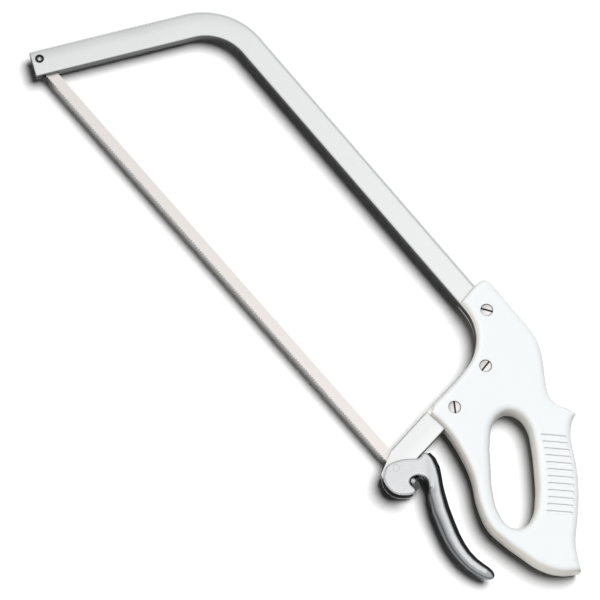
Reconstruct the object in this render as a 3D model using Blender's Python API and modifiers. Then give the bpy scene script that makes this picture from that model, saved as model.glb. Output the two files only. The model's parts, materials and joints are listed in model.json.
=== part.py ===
"""Butcher's bow saw: a bent bar frame, a toothed blade, an over-centre tension lever and a two-scale handle.

The saw lies flat. X runs along the blade from the tip to the handle, Y from the blade to the spine and Z up.
The origin is the heel, where the centre lines of spine and lower arm cross, on the handle's back face.
"""
import math

import bmesh
import bpy
from mathutils import Matrix, Vector

MM = 0.001

# Frame bar
BAR_THICKNESS = 12.0 * MM
SPINE_WIDTH = 22.0 * MM
ARM_WIDTH = 24.0 * MM
OUTER_EDGE_RADIUS = 4.0 * MM
INNER_EDGE_RADIUS = 1.5 * MM
LOWER_EDGE_RADIUS = 1.2 * MM
FRAME_DEPTH = 148.0 * MM
SPINE_LEAN = math.radians(0.93)
ARM_ANGLE = math.radians(65.0)
BEND_RADIUS = 53.0 * MM
LOWER_ARM_LEAN = math.radians(7.1)
TIP_OVERHANG = 7.0 * MM
FRONT_PIN_OFFSET = 3.0 * MM
NOSE_LENGTH = 11.5 * MM
NOSE_LEAN = math.radians(19.0)
KERF = 1.8 * MM

# Blade and its two pins
BLADE_LENGTH = 500.0 * MM
BLADE_WIDTH = 10.0 * MM
BLADE_THICKNESS = 0.7 * MM
BLADE_END = 7.5 * MM
TOOTH_PITCH = 2.6 * MM
TOOTH_DEPTH = 1.1 * MM
TOOTH_RAKE = 0.5 * MM
TOOTHLESS_END = 14.0 * MM
FRONT_PIN_DIAMETER = 4.0 * MM
FRONT_PIN_HEAD = 5.4 * MM
FRONT_PIN_HEAD_RISE = 1.35 * MM
FRONT_PIN_RECESS = 7.6 * MM
FRONT_PIN_RECESS_DEPTH = 2.2 * MM
REAR_PIN_DIAMETER = 5.0 * MM
REAR_PIN_CHAMFER = 0.6 * MM

# Tension lever
OVER_CENTRE = 4.0 * MM
PIN_THROW = 17.8 * MM
PIVOT_OFFSET = 3.2 * MM
STUD_DIAMETER = 6.0 * MM
CHEEK_THICKNESS = 4.0 * MM
LEVER_SWING = math.radians(55.0)
LEVER_EDGE_RADIUS = 1.2 * MM
LEVER_ROOT_THICKNESS = 19.6 * MM
LEVER_TIP_THICKNESS = 9.0 * MM
LIP_DROP = 1.2 * MM

# Handle scales and their screws
HANDLE_THICKNESS = 26.0 * MM
HANDLE_EDGE_RADIUS = 5.0 * MM
UPPER_SNOUT = 53.0 * MM
SNOUT_SLANT = 3.6 * MM
SNOUT_RISE = 15.5 * MM
LOWER_SNOUT = 97.0 * MM
BAR_PROUD = 0.3 * MM
PARTING_GAP = 0.3 * MM
SCREW_HEAD_DIAMETER = 11.0 * MM
SCREW_HEAD_HEIGHT = 3.0 * MM
SCREW_HEAD_CROWN = 0.4 * MM
SCREW_HEAD_EDGE = 0.6 * MM
SCREW_RECESS = 0.5 * MM
SCREW_SHANK_DIAMETER = 4.0 * MM
SCREW_SLOT_WIDTH = 1.6 * MM
SCREW_SLOT_DEPTH = 1.3 * MM
SLEEVE_DIAMETER = 7.0 * MM
UPPER_SCREW_REACH = 32.5 * MM
UPPER_SCREW_OUTSET = 1.8 * MM
MIDDLE_SCREW_REACH = 32.4 * MM
MIDDLE_SCREW_OUTSET = 0.5 * MM
LOWER_SCREW_REACH = 78.8 * MM
LOWER_SCREW_OUTSET = 5.0 * MM
RIB_COUNT = 12
RIB_PITCH = 6.2 * MM
RIB_LENGTH = 23.0 * MM
RIB_WIDTH = 2.8 * MM
RIB_DEPTH = 0.9 * MM
RIB_ARC_RADIUS = 176.0 * MM
RIB_MIDDLE = (117.4 * MM, -48.0 * MM)
RIB_ROW_SLANT = math.radians(-37.6)
RIB_SLANT = math.radians(45.0)

# Clearances
SEAT_GAP = 0.3 * MM
FIT_GAP = 0.15 * MM
HOOK_PLAY = 0.75 * MM
CUT_MARGIN = 10.0 * MM

for leftover in list(bpy.data.objects):
    bpy.data.objects.remove(leftover, do_unlink=True)

saw = bpy.data.collections.new("butcher_saw")
cutters = bpy.data.collections.new("cutters")
bpy.context.scene.collection.children.link(saw)
bpy.context.scene.collection.children.link(cutters)


def finish_of(name, colour, roughness, metallic):
    """A Principled material of one colour."""
    material = bpy.data.materials.new(name)
    material.use_nodes = True
    shader = material.node_tree.nodes["Principled BSDF"]
    shader.inputs["Base Color"].default_value = (*colour, 1.0)
    shader.inputs["Roughness"].default_value = roughness
    shader.inputs["Metallic"].default_value = metallic
    return material


BAR_FINISH = finish_of("satin_aluminium", (0.83, 0.84, 0.84), 0.32, 1.0)
BLADE_FINISH = finish_of("blade_steel", (0.78, 0.75, 0.72), 0.38, 1.0)
LEVER_FINISH = finish_of("cast_aluminium", (0.76, 0.78, 0.79), 0.3, 1.0)
PIN_FINISH = finish_of("pin_steel", (0.62, 0.63, 0.65), 0.25, 1.0)
SCREW_FINISH = finish_of("nickel_plate", (0.72, 0.71, 0.69), 0.28, 1.0)
HANDLE_FINISH = finish_of("white_nylon", (0.9, 0.92, 0.93), 0.42, 0.0)

root = bpy.data.objects.new("saw_root", None)
root.location = (0.0, 0.0, HANDLE_THICKNESS / 2)
saw.objects.link(root)


def place(name, mesh, material, parent=root, location=(0.0, 0.0, 0.0)):
    """Adds a finished piece to the saw, smooth on its round faces."""
    piece = bpy.data.objects.new(name, mesh)
    piece.data.materials.append(material)
    piece.parent = parent
    piece.location = location
    piece.data.shade_smooth()
    piece.data.set_sharp_from_angle(angle=math.radians(35))
    saw.objects.link(piece)
    return piece


def tool(name, mesh, parent=root, location=(0.0, 0.0, 0.0)):
    """Adds a cutter or a body to be joined, which is no piece of the saw."""
    body = bpy.data.objects.new(name, mesh)
    body.parent = parent
    body.location = location
    body.hide_render = True
    body.display_type = "WIRE"
    cutters.objects.link(body)
    return body


def boolean(piece, operation, body):
    """Cuts a body out of a piece, or joins it on."""
    step = piece.modifiers.new(f"{operation.lower()}_{body.name}", "BOOLEAN")
    step.operation = operation
    step.solver = "EXACT"
    step.object = body


def mesh_from(bm, name):
    """Closes a bmesh into a mesh with its faces pointing out."""
    bmesh.ops.recalc_face_normals(bm, faces=bm.faces)
    mesh = bpy.data.meshes.new(name)
    bm.to_mesh(mesh)
    bm.free()
    return mesh


def box_mesh(name, low, high):
    """A box between two corners."""
    bm = bmesh.new()
    low, high = Vector(low), Vector(high)
    size = high - low
    spread = Matrix.Diagonal((*size, 1.0))
    bmesh.ops.create_cube(bm, size=1.0, matrix=Matrix.Translation((low + high) / 2) @ spread)
    return mesh_from(bm, name)


def cylinder_mesh(name, radius, bottom, top, segments=32):
    """An upright cylinder from one height to another."""
    bm = bmesh.new()
    bmesh.ops.create_cone(bm, cap_ends=True, segments=segments, radius1=radius, radius2=radius,
                          depth=top - bottom, matrix=Matrix.Translation((0.0, 0.0, (top + bottom) / 2)))
    return mesh_from(bm, name)


def turned_piece(piece, segments=22):
    """Spins a profile mesh round its own Z axis."""
    spin = piece.modifiers.new("turn", "SCREW")
    spin.axis = "Z"
    spin.angle = math.tau
    spin.steps = segments
    spin.render_steps = segments
    spin.use_merge_vertices = True
    spin.merge_threshold = 0.00001


def profile_mesh(name, points):
    """A profile of (radius, height) points, from the top of the axis down the outside to its bottom."""
    bm = bmesh.new()
    verts = [bm.verts.new((radius, 0.0, height)) for radius, height in points]
    for above, below in zip(verts, verts[1:]):
        bm.edges.new((above, below))
    mesh = bpy.data.meshes.new(name)
    bm.to_mesh(mesh)
    bm.free()
    return mesh


def outline_mesh(name, loops, half_thickness, edge_radius=0.0, resolution=3, edge_steps=2):
    """Fills closed outlines and gives them thickness, with both rims rounded.

    A loop is a list of (x, y, corner) points: the curve is smooth except at its corners.
    """
    curve = bpy.data.curves.new(name, "CURVE")
    curve.dimensions = "2D"
    curve.fill_mode = "BOTH"
    curve.resolution_u = resolution
    curve.extrude = half_thickness - edge_radius
    curve.bevel_depth = edge_radius
    curve.bevel_resolution = edge_steps
    curve.offset = -edge_radius
    for loop in loops:
        spline = curve.splines.new("BEZIER")
        spline.bezier_points.add(len(loop) - 1)
        spline.use_cyclic_u = True
        for knot, (x, y, corner) in zip(spline.bezier_points, loop):
            knot.co = (x, y, 0.0)
            knot.handle_left_type = "VECTOR" if corner else "AUTO"
            knot.handle_right_type = knot.handle_left_type
    drawing = bpy.data.objects.new(name, curve)
    cutters.objects.link(drawing)
    bpy.context.view_layer.update()
    mesh = bpy.data.meshes.new_from_object(drawing.evaluated_get(bpy.context.evaluated_depsgraph_get()))
    bpy.data.objects.remove(drawing, do_unlink=True)
    bm = bmesh.new()
    bm.from_mesh(mesh)
    bmesh.ops.remove_doubles(bm, verts=bm.verts, dist=0.00001)
    bmesh.ops.dissolve_degenerate(bm, edges=bm.edges, dist=0.00001)
    bpy.data.meshes.remove(mesh)
    return mesh_from(bm, name)


def loft_mesh(name, rings):
    """Skins a row of rings with equal counts of points and caps both ends."""
    bm = bmesh.new()
    rows = [[bm.verts.new(point) for point in ring] for ring in rings]
    for row, following in zip(rows, rows[1:]):
        for index, vert in enumerate(row):
            beside = (index + 1) % len(row)
            bm.faces.new((vert, row[beside], following[beside], following[index]))
    bm.faces.new(rows[0])
    bm.faces.new(rows[-1])
    return mesh_from(bm, name)


def direction(angle):
    """The unit vector at an angle from X."""
    return Vector((math.cos(angle), math.sin(angle), 0.0))


def left_of(heading):
    """The unit vector a quarter turn to the left of a heading."""
    return Vector((-heading.y, heading.x, 0.0))


def crossing(point_a, heading_a, point_b, heading_b):
    """Where two lines in the plane of the saw cross."""
    between = point_b - point_a
    slant = heading_a.x * heading_b.y - heading_a.y * heading_b.x
    along = (between.x * heading_b.y - between.y * heading_b.x) / slant
    return point_a + heading_a * along


# The frame's centre line: up the front arm, along the spine to the heel and down the lower arm.
heel = Vector((0.0, 0.0, 0.0))
arm_heading = direction(ARM_ANGLE)
spine_heading = direction(-SPINE_LEAN)
lower_heading = direction(LOWER_ARM_LEAN - math.pi / 2)
pivot_line = heel + left_of(lower_heading) * PIVOT_OFFSET
pivot = crossing(pivot_line, lower_heading, Vector((0.0, -FRAME_DEPTH - OVER_CENTRE, 0.0)), direction(0.0))
rear_pin = pivot + Vector((PIN_THROW, OVER_CENTRE, 0.0))
front_pin = rear_pin - Vector((BLADE_LENGTH, 0.0, 0.0))
arm_foot = front_pin - left_of(arm_heading) * FRONT_PIN_OFFSET
tip_end = arm_foot - arm_heading * TIP_OVERHANG
front_corner = crossing(arm_foot, arm_heading, heel, spine_heading)
lower_end = pivot - left_of(lower_heading) * PIVOT_OFFSET
boss_radius = SPINE_WIDTH / 2 + PIVOT_OFFSET


def bend(corner, heading_in, heading_out, radius, steps=10):
    """Points and headings round a right-hand bend of the centre line."""
    turn = heading_in.angle(heading_out)
    start = corner - heading_in * radius * math.tan(turn / 2)
    centre = start - left_of(heading_in) * radius
    first = math.atan2(heading_in.y, heading_in.x)
    stations = []
    for step in range(steps + 1):
        heading = direction(first - turn * step / steps)
        stations.append((centre + left_of(heading) * radius, heading))
    return stations


front_bend = bend(front_corner, arm_heading, spine_heading, BEND_RADIUS)
heel_bend = bend(heel, spine_heading, lower_heading, BEND_RADIUS)
frame_line = [(tip_end, arm_heading), *front_bend, *heel_bend, (lower_end, lower_heading)]


def bar_section(width, outer_radius, grow=0.0):
    """The bar's section as (outward, up) points: flat faces, full outer corners and tight inner ones."""
    half_width, half_height = width / 2 + grow, BAR_THICKNESS / 2 + grow
    corners = [(1, 1, outer_radius, 0, 5), (-1, 1, INNER_EDGE_RADIUS, 90, 3),
               (-1, -1, INNER_EDGE_RADIUS, 180, 3), (1, -1, outer_radius, 270, 5)]
    points = []
    for side, rise, radius, start, steps in corners:
        for step in range(steps + 1):
            angle = math.radians(start + 90.0 * step / steps)
            across = side * (half_width - radius) + radius * math.cos(angle)
            points.append((across, rise * (half_height - radius) + radius * math.sin(angle)))
    return points


def bar_rings(stations, first_index=0, grow=0.0):
    """The bar's section set square to stations of its centre line, counted from a first index."""
    rings = []
    for index, (point, heading) in enumerate(stations, first_index):
        outward = left_of(heading)
        section = bar_section(*bar_size(index), grow)
        rings.append([point + outward * across + Vector((0.0, 0.0, up)) for across, up in section])
    return rings


def bar_size(index):
    """The width narrows round the front bend, and the outer corners are squared up round the heel."""
    past_front = min(max((index - 1) / (len(front_bend) - 1), 0.0), 1.0)
    past_heel = min(max((index - 1 - len(front_bend)) / (len(heel_bend) - 1), 0.0), 1.0)
    return (ARM_WIDTH + (SPINE_WIDTH - ARM_WIDTH) * past_front,
            OUTER_EDGE_RADIUS + (LOWER_EDGE_RADIUS - OUTER_EDGE_RADIUS) * past_heel)


frame_bar = place("frame_bar", loft_mesh("frame_bar", bar_rings(frame_line)), BAR_FINISH)
half_bar = BAR_THICKNESS / 2
boolean(frame_bar, "UNION", tool("end_boss", cylinder_mesh("end_boss", boss_radius, -half_bar, half_bar, 48),
                                 location=pivot))

# The front of the lower arm is cut back on a slant to its end.
nose_cut = tool("nose_cut", box_mesh("nose_cut", (-CUT_MARGIN, -2 * boss_radius, -BAR_THICKNESS),
                                     (3 * boss_radius, 0.0, BAR_THICKNESS)),
                location=lower_end - lower_heading * NOSE_LENGTH - left_of(lower_heading) * SPINE_WIDTH / 2)
nose_cut.rotation_euler = (0.0, 0.0, LOWER_ARM_LEAN - math.pi / 2 + NOSE_LEAN)
boolean(frame_bar, "DIFFERENCE", nose_cut)

# Kerfs that take the blade: one across the tip, one up the end of the lower arm.
blade_exit = (ARM_WIDTH / 2 + FRONT_PIN_OFFSET) / math.tan(ARM_ANGLE) + BLADE_WIDTH / math.sin(ARM_ANGLE) / 2
kerf_depth = blade_exit + 2 * SEAT_GAP + KERF
tip_kerf = tool("tip_kerf", box_mesh("tip_kerf", (-TIP_OVERHANG - CUT_MARGIN, -ARM_WIDTH, -KERF / 2),
                                     (kerf_depth, ARM_WIDTH, KERF / 2)), location=arm_foot)
tip_kerf.rotation_euler = (0.0, 0.0, ARM_ANGLE)
boolean(frame_bar, "DIFFERENCE", tip_kerf)
kerf_top = OVER_CENTRE + BLADE_WIDTH / 2 + KERF
end_kerf = tool("end_kerf", box_mesh("end_kerf", (-2 * SPINE_WIDTH, -boss_radius - CUT_MARGIN, -KERF / 2),
                                     (2 * SPINE_WIDTH, kerf_top, KERF / 2)), location=pivot)
boolean(frame_bar, "DIFFERENCE", end_kerf)

# Bores: the front pin with a recess on each face, the pivot studs and the three handle screws.
pin_bore = FRONT_PIN_DIAMETER / 2 + FIT_GAP
recess_floor = half_bar - FRONT_PIN_RECESS_DEPTH
recess_radius, recess_mouth = FRONT_PIN_RECESS / 2, half_bar + CUT_MARGIN
half_hole = [(0.0, recess_mouth), (recess_radius, recess_mouth), (recess_radius, recess_floor),
             (pin_bore, recess_floor)]
pin_hole = tool("front_pin_hole", profile_mesh("front_pin_hole", [
    *half_hole, *[(radius, -height) for radius, height in reversed(half_hole)]]), location=front_pin)
turned_piece(pin_hole)
boolean(frame_bar, "DIFFERENCE", pin_hole)
boolean(frame_bar, "DIFFERENCE", tool("stud_bore", cylinder_mesh(
    "stud_bore", STUD_DIAMETER / 2 + FIT_GAP, -BAR_THICKNESS, BAR_THICKNESS), location=pivot))
screw_places = {
    "upper": heel - spine_heading * UPPER_SCREW_REACH + left_of(spine_heading) * UPPER_SCREW_OUTSET,
    "middle": heel + lower_heading * MIDDLE_SCREW_REACH + left_of(lower_heading) * MIDDLE_SCREW_OUTSET,
    "lower": heel + lower_heading * LOWER_SCREW_REACH + left_of(lower_heading) * LOWER_SCREW_OUTSET,
}
for which, spot in screw_places.items():
    boolean(frame_bar, "DIFFERENCE", tool(f"{which}_sleeve_bore", cylinder_mesh(
        f"{which}_sleeve_bore", SLEEVE_DIAMETER / 2 + FIT_GAP, -BAR_THICKNESS, BAR_THICKNESS), location=spot))

# Front blade pin: a plain pin with a domed head peened into the recess on each face.
head_base = recess_floor + SEAT_GAP
dome = [direction(math.radians(angle)) for angle in range(90, -1, -30)]
front_pin_profile = [(FRONT_PIN_HEAD / 2 * ray.x, head_base + FRONT_PIN_HEAD_RISE * ray.y) for ray in dome]
front_pin_profile += [(FRONT_PIN_DIAMETER / 2, head_base)]
front_pin_profile += [(radius, -height) for radius, height in reversed(front_pin_profile)]
turned_piece(place("front_blade_pin", profile_mesh("front_blade_pin", front_pin_profile), PIN_FINISH,
                   location=front_pin))


# Blade: its origin is the rear pin. The open joint of the tension linkage is the slot over the front pin.
def lever_path(angle):
    """How far the rear pin has moved when the lever has swung open by an angle."""
    arm = rear_pin - pivot
    return Matrix.Rotation(-angle, 3, "Z") @ arm - arm


SWING_STEPS = 24
swing_steps = [lever_path(LEVER_SWING * step / SWING_STEPS) for step in range(SWING_STEPS + 1)]
slack = -min(move.x for move in swing_steps)
stretch = max(move.x for move in swing_steps)
slot_low = -BLADE_LENGTH - FRONT_PIN_DIAMETER / 2 - stretch - SEAT_GAP
slot_high = -BLADE_LENGTH + FRONT_PIN_DIAMETER / 2 + slack + SEAT_GAP
slot_half = FRONT_PIN_DIAMETER / 2 + HOOK_PLAY


def blade_outline():
    """The blade's edge: a plain back, cut corners and a row of raked teeth away from the spine."""
    half = BLADE_WIDTH / 2
    front, back = slot_low - BLADE_END + FRONT_PIN_DIAMETER / 2, BLADE_END
    corner = half / 2
    points = [(back - corner, half, True), (front + corner, half, True)]
    points += [(front, half - corner, True), (front, corner - half, True), (front + corner, -half, True)]
    first = front + TOOTHLESS_END
    teeth = int((back - TOOTHLESS_END - first) / TOOTH_PITCH)
    for tooth in range(teeth):
        start = first + tooth * TOOTH_PITCH
        points.append((start, -half, True))
        points.append((start + TOOTH_RAKE, TOOTH_DEPTH - half, True))
    points += [(first + teeth * TOOTH_PITCH, -half, True), (back - corner, -half, True)]
    points += [(back, corner - half, True), (back, half - corner, True)]
    return points


def slot_outline(low, high, half):
    """A slot with round ends, from one x to another."""
    points = []
    for centre, start in ((high - half, -90), (low + half, 90)):
        for step in range(9):
            angle = math.radians(start + 22.5 * step)
            points.append((centre + half * math.cos(angle), half * math.sin(angle), True))
    return points


rear_bore = REAR_PIN_DIAMETER / 2 + FIT_GAP
blade_loops = [blade_outline(), slot_outline(slot_low, slot_high, slot_half),
               slot_outline(-rear_bore, rear_bore, rear_bore)]
place("saw_blade", outline_mesh("saw_blade", blade_loops, BLADE_THICKNESS / 2, resolution=1), BLADE_FINISH,
      location=rear_pin)

# Rear blade pin: carried by the blade, its two ends lie in the hooks of the lever.
half_fork = half_bar + SEAT_GAP
half_head = half_fork + CHEEK_THICKNESS
pin_end = half_head - SEAT_GAP
half_pin = [(0.0, pin_end), (REAR_PIN_DIAMETER / 2 - REAR_PIN_CHAMFER, pin_end),
            (REAR_PIN_DIAMETER / 2, pin_end - REAR_PIN_CHAMFER)]
rear_pin_profile = [*half_pin, *[(radius, -height) for radius, height in reversed(half_pin)]]
turned_piece(place("rear_blade_pin", profile_mesh("rear_blade_pin", rear_pin_profile), PIN_FINISH,
                   location=rear_pin))

# Tension lever: a casting with a forked, hooked head and a swept finger arm. Its origin is the pivot.
seat = rear_pin - pivot
seat_wall = seat.x - REAR_PIN_DIAMETER / 2 - SEAT_GAP
lip = seat.y - REAR_PIN_DIAMETER / 2 - SEAT_GAP - LIP_DROP
bar_right = SPINE_WIDTH / 2 - PIVOT_OFFSET
stop_side = left_of(lower_heading) * (bar_right + SEAT_GAP)


def beside_bar(height, outside=0.0):
    """A point level with a height above the pivot, beside the lower arm's rear edge."""
    point = crossing(stop_side + left_of(lower_heading) * outside, lower_heading, Vector((0.0, height, 0.0)),
                     direction(0.0))
    return point.x, point.y


head_back = [beside_bar(20.5 * MM), *[(x * MM, y * MM) for x, y in (
    (2.6, 16.6), (-1.3, 11.2), (-5.2, 3.4), (-6.8, -3.6), (-4.7, -9.8), (0.9, -14.9), (9.2, -16.7),
    (17.2, -14.6), (23.4, -8.6))]]
hook = [(seat.x + x * MM, lip + y * MM) for x, y in ((8.7, -2.6), (8.4, -0.6), (5.0, 0.2), (0.8, 0.0))]
mouth = [(seat_wall + 0.3 * MM, seat.y - 1.6 * MM), (seat_wall, seat.y + 1.6 * MM)]
mouth += [(seat.x + x * MM, seat.y + y * MM) for x, y in (
    (-2.0, 4.6), (0.4, 8.0), (5.0, 10.2), (9.8, 8.6), (14.0, 5.2))]
arm_root = [(seat.x + x * MM, seat.y + y * MM) for x, y in (
    (19.6, 4.2), (22.8, 8.6), (20.2, 14.2), (13.3, 19.5), (5.0, 24.3), (-3.4, 27.6))]
shoulder = beside_bar(30.3 * MM, 2.6 * MM)
head_loop = [(x, y, False) for x, y in (*head_back, *hook, *mouth, *arm_root, shoulder)]
lever_head = outline_mesh("tension_lever", [head_loop], half_head, LEVER_EDGE_RADIUS)
tension_lever = place("tension_lever", lever_head, LEVER_FINISH, location=pivot)

# The arm's centre line from the seat, in millimetres: (along, across, width).
ARM_STATIONS = [(9.0, 15.8, 14.8), (20.0, 9.6, 16.2), (34.5, 3.0, 15.6), (46.0, -1.2, 15.4),
                (58.0, -5.2, 15.2), (68.5, -7.4, 14.4), (78.0, -8.2, 13.6), (87.0, -7.6, 13.0),
                (95.0, -5.7, 12.4), (101.0, -3.5, 11.2), (104.7, -2.2, 9.2), (107.2, -1.4, 6.2),
                (108.4, -1.0, 2.6)]
TIP_STATIONS = 3
ARM_SIDES = 20
ARM_SQUARENESS = 0.85


def lever_arm_rings():
    """Oval sections set square to the finger arm's centre line, thinning towards a rounded tip."""
    centres = [seat + Vector((along * MM, across * MM, 0.0)) for along, across, _ in ARM_STATIONS]
    last = len(centres) - 1
    straight = last - TIP_STATIONS
    thinning = LEVER_TIP_THICKNESS - LEVER_ROOT_THICKNESS
    rings = []
    for index, centre in enumerate(centres):
        heading = (centres[min(index + 1, last)] - centres[max(index - 1, 0)]).normalized()
        width = ARM_STATIONS[index][2] * MM
        depth = LEVER_ROOT_THICKNESS + thinning * min(index / straight, 1.0)
        if index > straight:
            depth *= ARM_STATIONS[index][2] / ARM_STATIONS[straight][2]
        ring = []
        for side in range(ARM_SIDES):
            cosine, sine = math.cos(math.tau * side / ARM_SIDES), math.sin(math.tau * side / ARM_SIDES)
            across = math.copysign(abs(cosine) ** ARM_SQUARENESS, cosine) * width / 2
            up = math.copysign(abs(sine) ** ARM_SQUARENESS, sine) * depth / 2
            ring.append(centre + left_of(heading) * across + Vector((0.0, 0.0, up)))
        rings.append(ring)
    return rings


finger_arm = loft_mesh("finger_arm", lever_arm_rings())
boolean(tension_lever, "UNION", tool("finger_arm", finger_arm, location=pivot))
tail_swing = math.hypot(BLADE_END, BLADE_WIDTH / 4) + SEAT_GAP
fork_end = seat.x + tail_swing + SEAT_GAP
fork_loop = [
    (-3 * boss_radius, -3 * boss_radius, True), (fork_end, -3 * boss_radius, True),
    (fork_end, seat.y + tail_swing, True), (seat.x - BLADE_WIDTH / 4, seat.y + tail_swing, True),
    (*beside_bar(boss_radius, boss_radius / 3), True), (*beside_bar(boss_radius), True),
    (*beside_bar(4 * boss_radius), True), (-3 * boss_radius, 4 * boss_radius, True),
]
fork_slot = outline_mesh("fork_slot", [fork_loop], half_fork)
boolean(tension_lever, "DIFFERENCE", tool("fork_slot", fork_slot, location=pivot))
boolean(tension_lever, "DIFFERENCE", tool("lever_bore", cylinder_mesh(
    "lever_bore", STUD_DIAMETER / 2 + FIT_GAP, -2 * half_head, 2 * half_head), location=pivot))

# Pivot studs: one from each side, so that the blade passes between them.
for side, facing in (("front", 1), ("back", -1)):
    ends = sorted((facing * (KERF / 2 + SEAT_GAP), facing * half_head))
    stud = cylinder_mesh(f"pivot_stud_{side}", STUD_DIAMETER / 2, *ends, segments=28)
    place(f"pivot_stud_{side}", stud, PIN_FINISH, location=pivot)

# Handle: two scales that clamp the bar. The throat edge follows the bar, which stands a little proud of it.
throat = SPINE_WIDTH / 2 - BAR_PROUD
throat_points = [heel - spine_heading * UPPER_SNOUT - left_of(spine_heading) * throat]
throat_points += [point - left_of(heading) * throat for point, heading in heel_bend[::2]]
throat_points += [heel + lower_heading * LOWER_SNOUT - left_of(lower_heading) * throat]
handle_loop = [(throat_points[0].x, throat_points[0].y, True)]
handle_loop += [(point.x, point.y, False) for point in throat_points[1:-1]]
handle_loop += [(throat_points[-1].x, throat_points[-1].y, True)]
handle_loop += [(x * MM, y * MM, corner) for x, y, corner in (
    (26, -95.5, False), (49, -99, False), (70, -105.5, False), (92, -117.5, False), (113, -124, False),
    (131, -122.4, False), (150, -118.2, False), (169, -112.6, False), (184, -102.6, False), (194, -89, True),
    (183.6, -83.6, False), (172.6, -76.4, False), (155.6, -58.4, False), (139.2, -42.6, False),
    (121.6, -29.4, False), (105.6, -20.2, False), (96, -13, False), (90.8, -6.7, False), (87.4, 1.4, True),
    (79, -1.2, False), (72, -5, False), (64.5, -6.4, False), (57, -4.8, False), (47, 1.2, False),
    (33, 10.9, False), (20, 17.8, False), (8, 20.7, False), (-9, 21.5, False), (-30, 22.2, False),
    (-47, 22.5, False))]
snout_back = [(6.4, 6.0), (2.2, 4.2), (0.3, 0.0)]
snout_top = heel - spine_heading * (UPPER_SNOUT + SNOUT_SLANT) + left_of(spine_heading) * SNOUT_RISE
handle_loop += [(snout_top.x + x * MM, snout_top.y + y * MM, False) for x, y in snout_back]
grip_loop = [(x * MM, y * MM, False) for x, y in (
    (58, -37.5), (70, -38.8), (80, -44), (101.5, -59), (120, -74.5), (129.8, -88), (130, -99.4),
    (122.4, -108), (108.4, -108.2), (91, -100), (76, -88.8), (57, -72.8), (47, -60), (45.5, -49),
    (49.5, -41.5))]
handle_mesh = outline_mesh("handle_body", [handle_loop, grip_loop], HANDLE_THICKNESS / 2, HANDLE_EDGE_RADIUS)
pocket = tool("bar_pocket", loft_mesh("bar_pocket", bar_rings(
    [(heel - spine_heading * 2 * UPPER_SNOUT, spine_heading), *heel_bend, (lower_end, lower_heading)],
    len(front_bend), SEAT_GAP)))


def rib_grooves(facing):
    """A row of shallow round-ended finger grooves across the back of the grip, along a gentle arc."""
    bm = bmesh.new()
    middle = Vector((*RIB_MIDDLE, 0.0))
    centre = middle - left_of(direction(RIB_ROW_SLANT)) * RIB_ARC_RADIUS
    radius = (RIB_WIDTH ** 2 / 4 + RIB_DEPTH ** 2) / (2 * RIB_DEPTH)
    height = facing * (HANDLE_THICKNESS / 2 - RIB_DEPTH + radius)
    across = Matrix.Rotation(RIB_SLANT, 4, "Z") @ Matrix.Rotation(math.pi / 2, 4, "Y")
    for rib in range(RIB_COUNT):
        swing = (rib - (RIB_COUNT - 1) / 2) * RIB_PITCH / RIB_ARC_RADIUS
        spot = centre + Matrix.Rotation(-swing, 3, "Z") @ (middle - centre) + Vector((0.0, 0.0, height))
        bmesh.ops.create_cone(bm, cap_ends=True, segments=24, radius1=radius, radius2=radius,
                              depth=RIB_LENGTH, matrix=Matrix.Translation(spot) @ across)
    return mesh_from(bm, "rib_grooves")


half_handle = HANDLE_THICKNESS / 2
head_face = half_handle - SCREW_RECESS
seat_depth = head_face - SCREW_HEAD_HEIGHT
head_bore = SCREW_HEAD_DIAMETER / 2 + FIT_GAP
sleeve_bore = SLEEVE_DIAMETER / 2 + FIT_GAP
reach = max(abs(value) for x, y, _ in handle_loop for value in (x, y)) + CUT_MARGIN
for side, facing in (("front", 1), ("back", -1)):
    scale = place(f"handle_{side}", handle_mesh.copy(), HANDLE_FINISH)
    levels = sorted((facing * PARTING_GAP / 2, -facing * HANDLE_THICKNESS))
    boolean(scale, "DIFFERENCE", tool(f"beyond_{side}", box_mesh(
        f"beyond_{side}", (-reach, -reach, levels[0]), (reach, reach, levels[1]))))
    boolean(scale, "DIFFERENCE", pocket)
    for which, spot in screw_places.items():
        rim, floor = facing * HANDLE_THICKNESS, facing * (seat_depth - SEAT_GAP)
        shape = [(0.0, rim), (head_bore, rim), (head_bore, floor), (sleeve_bore, floor), (sleeve_bore, 0.0),
                 (0.0, 0.0)]
        bore = tool(f"{which}_screw_bore_{side}", profile_mesh(
            f"{which}_screw_bore_{side}", shape if facing > 0 else shape[::-1]), location=spot)
        turned_piece(bore)
        boolean(scale, "DIFFERENCE", bore)
    boolean(scale, "DIFFERENCE", tool(f"rib_grooves_{side}", rib_grooves(facing)))

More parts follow.
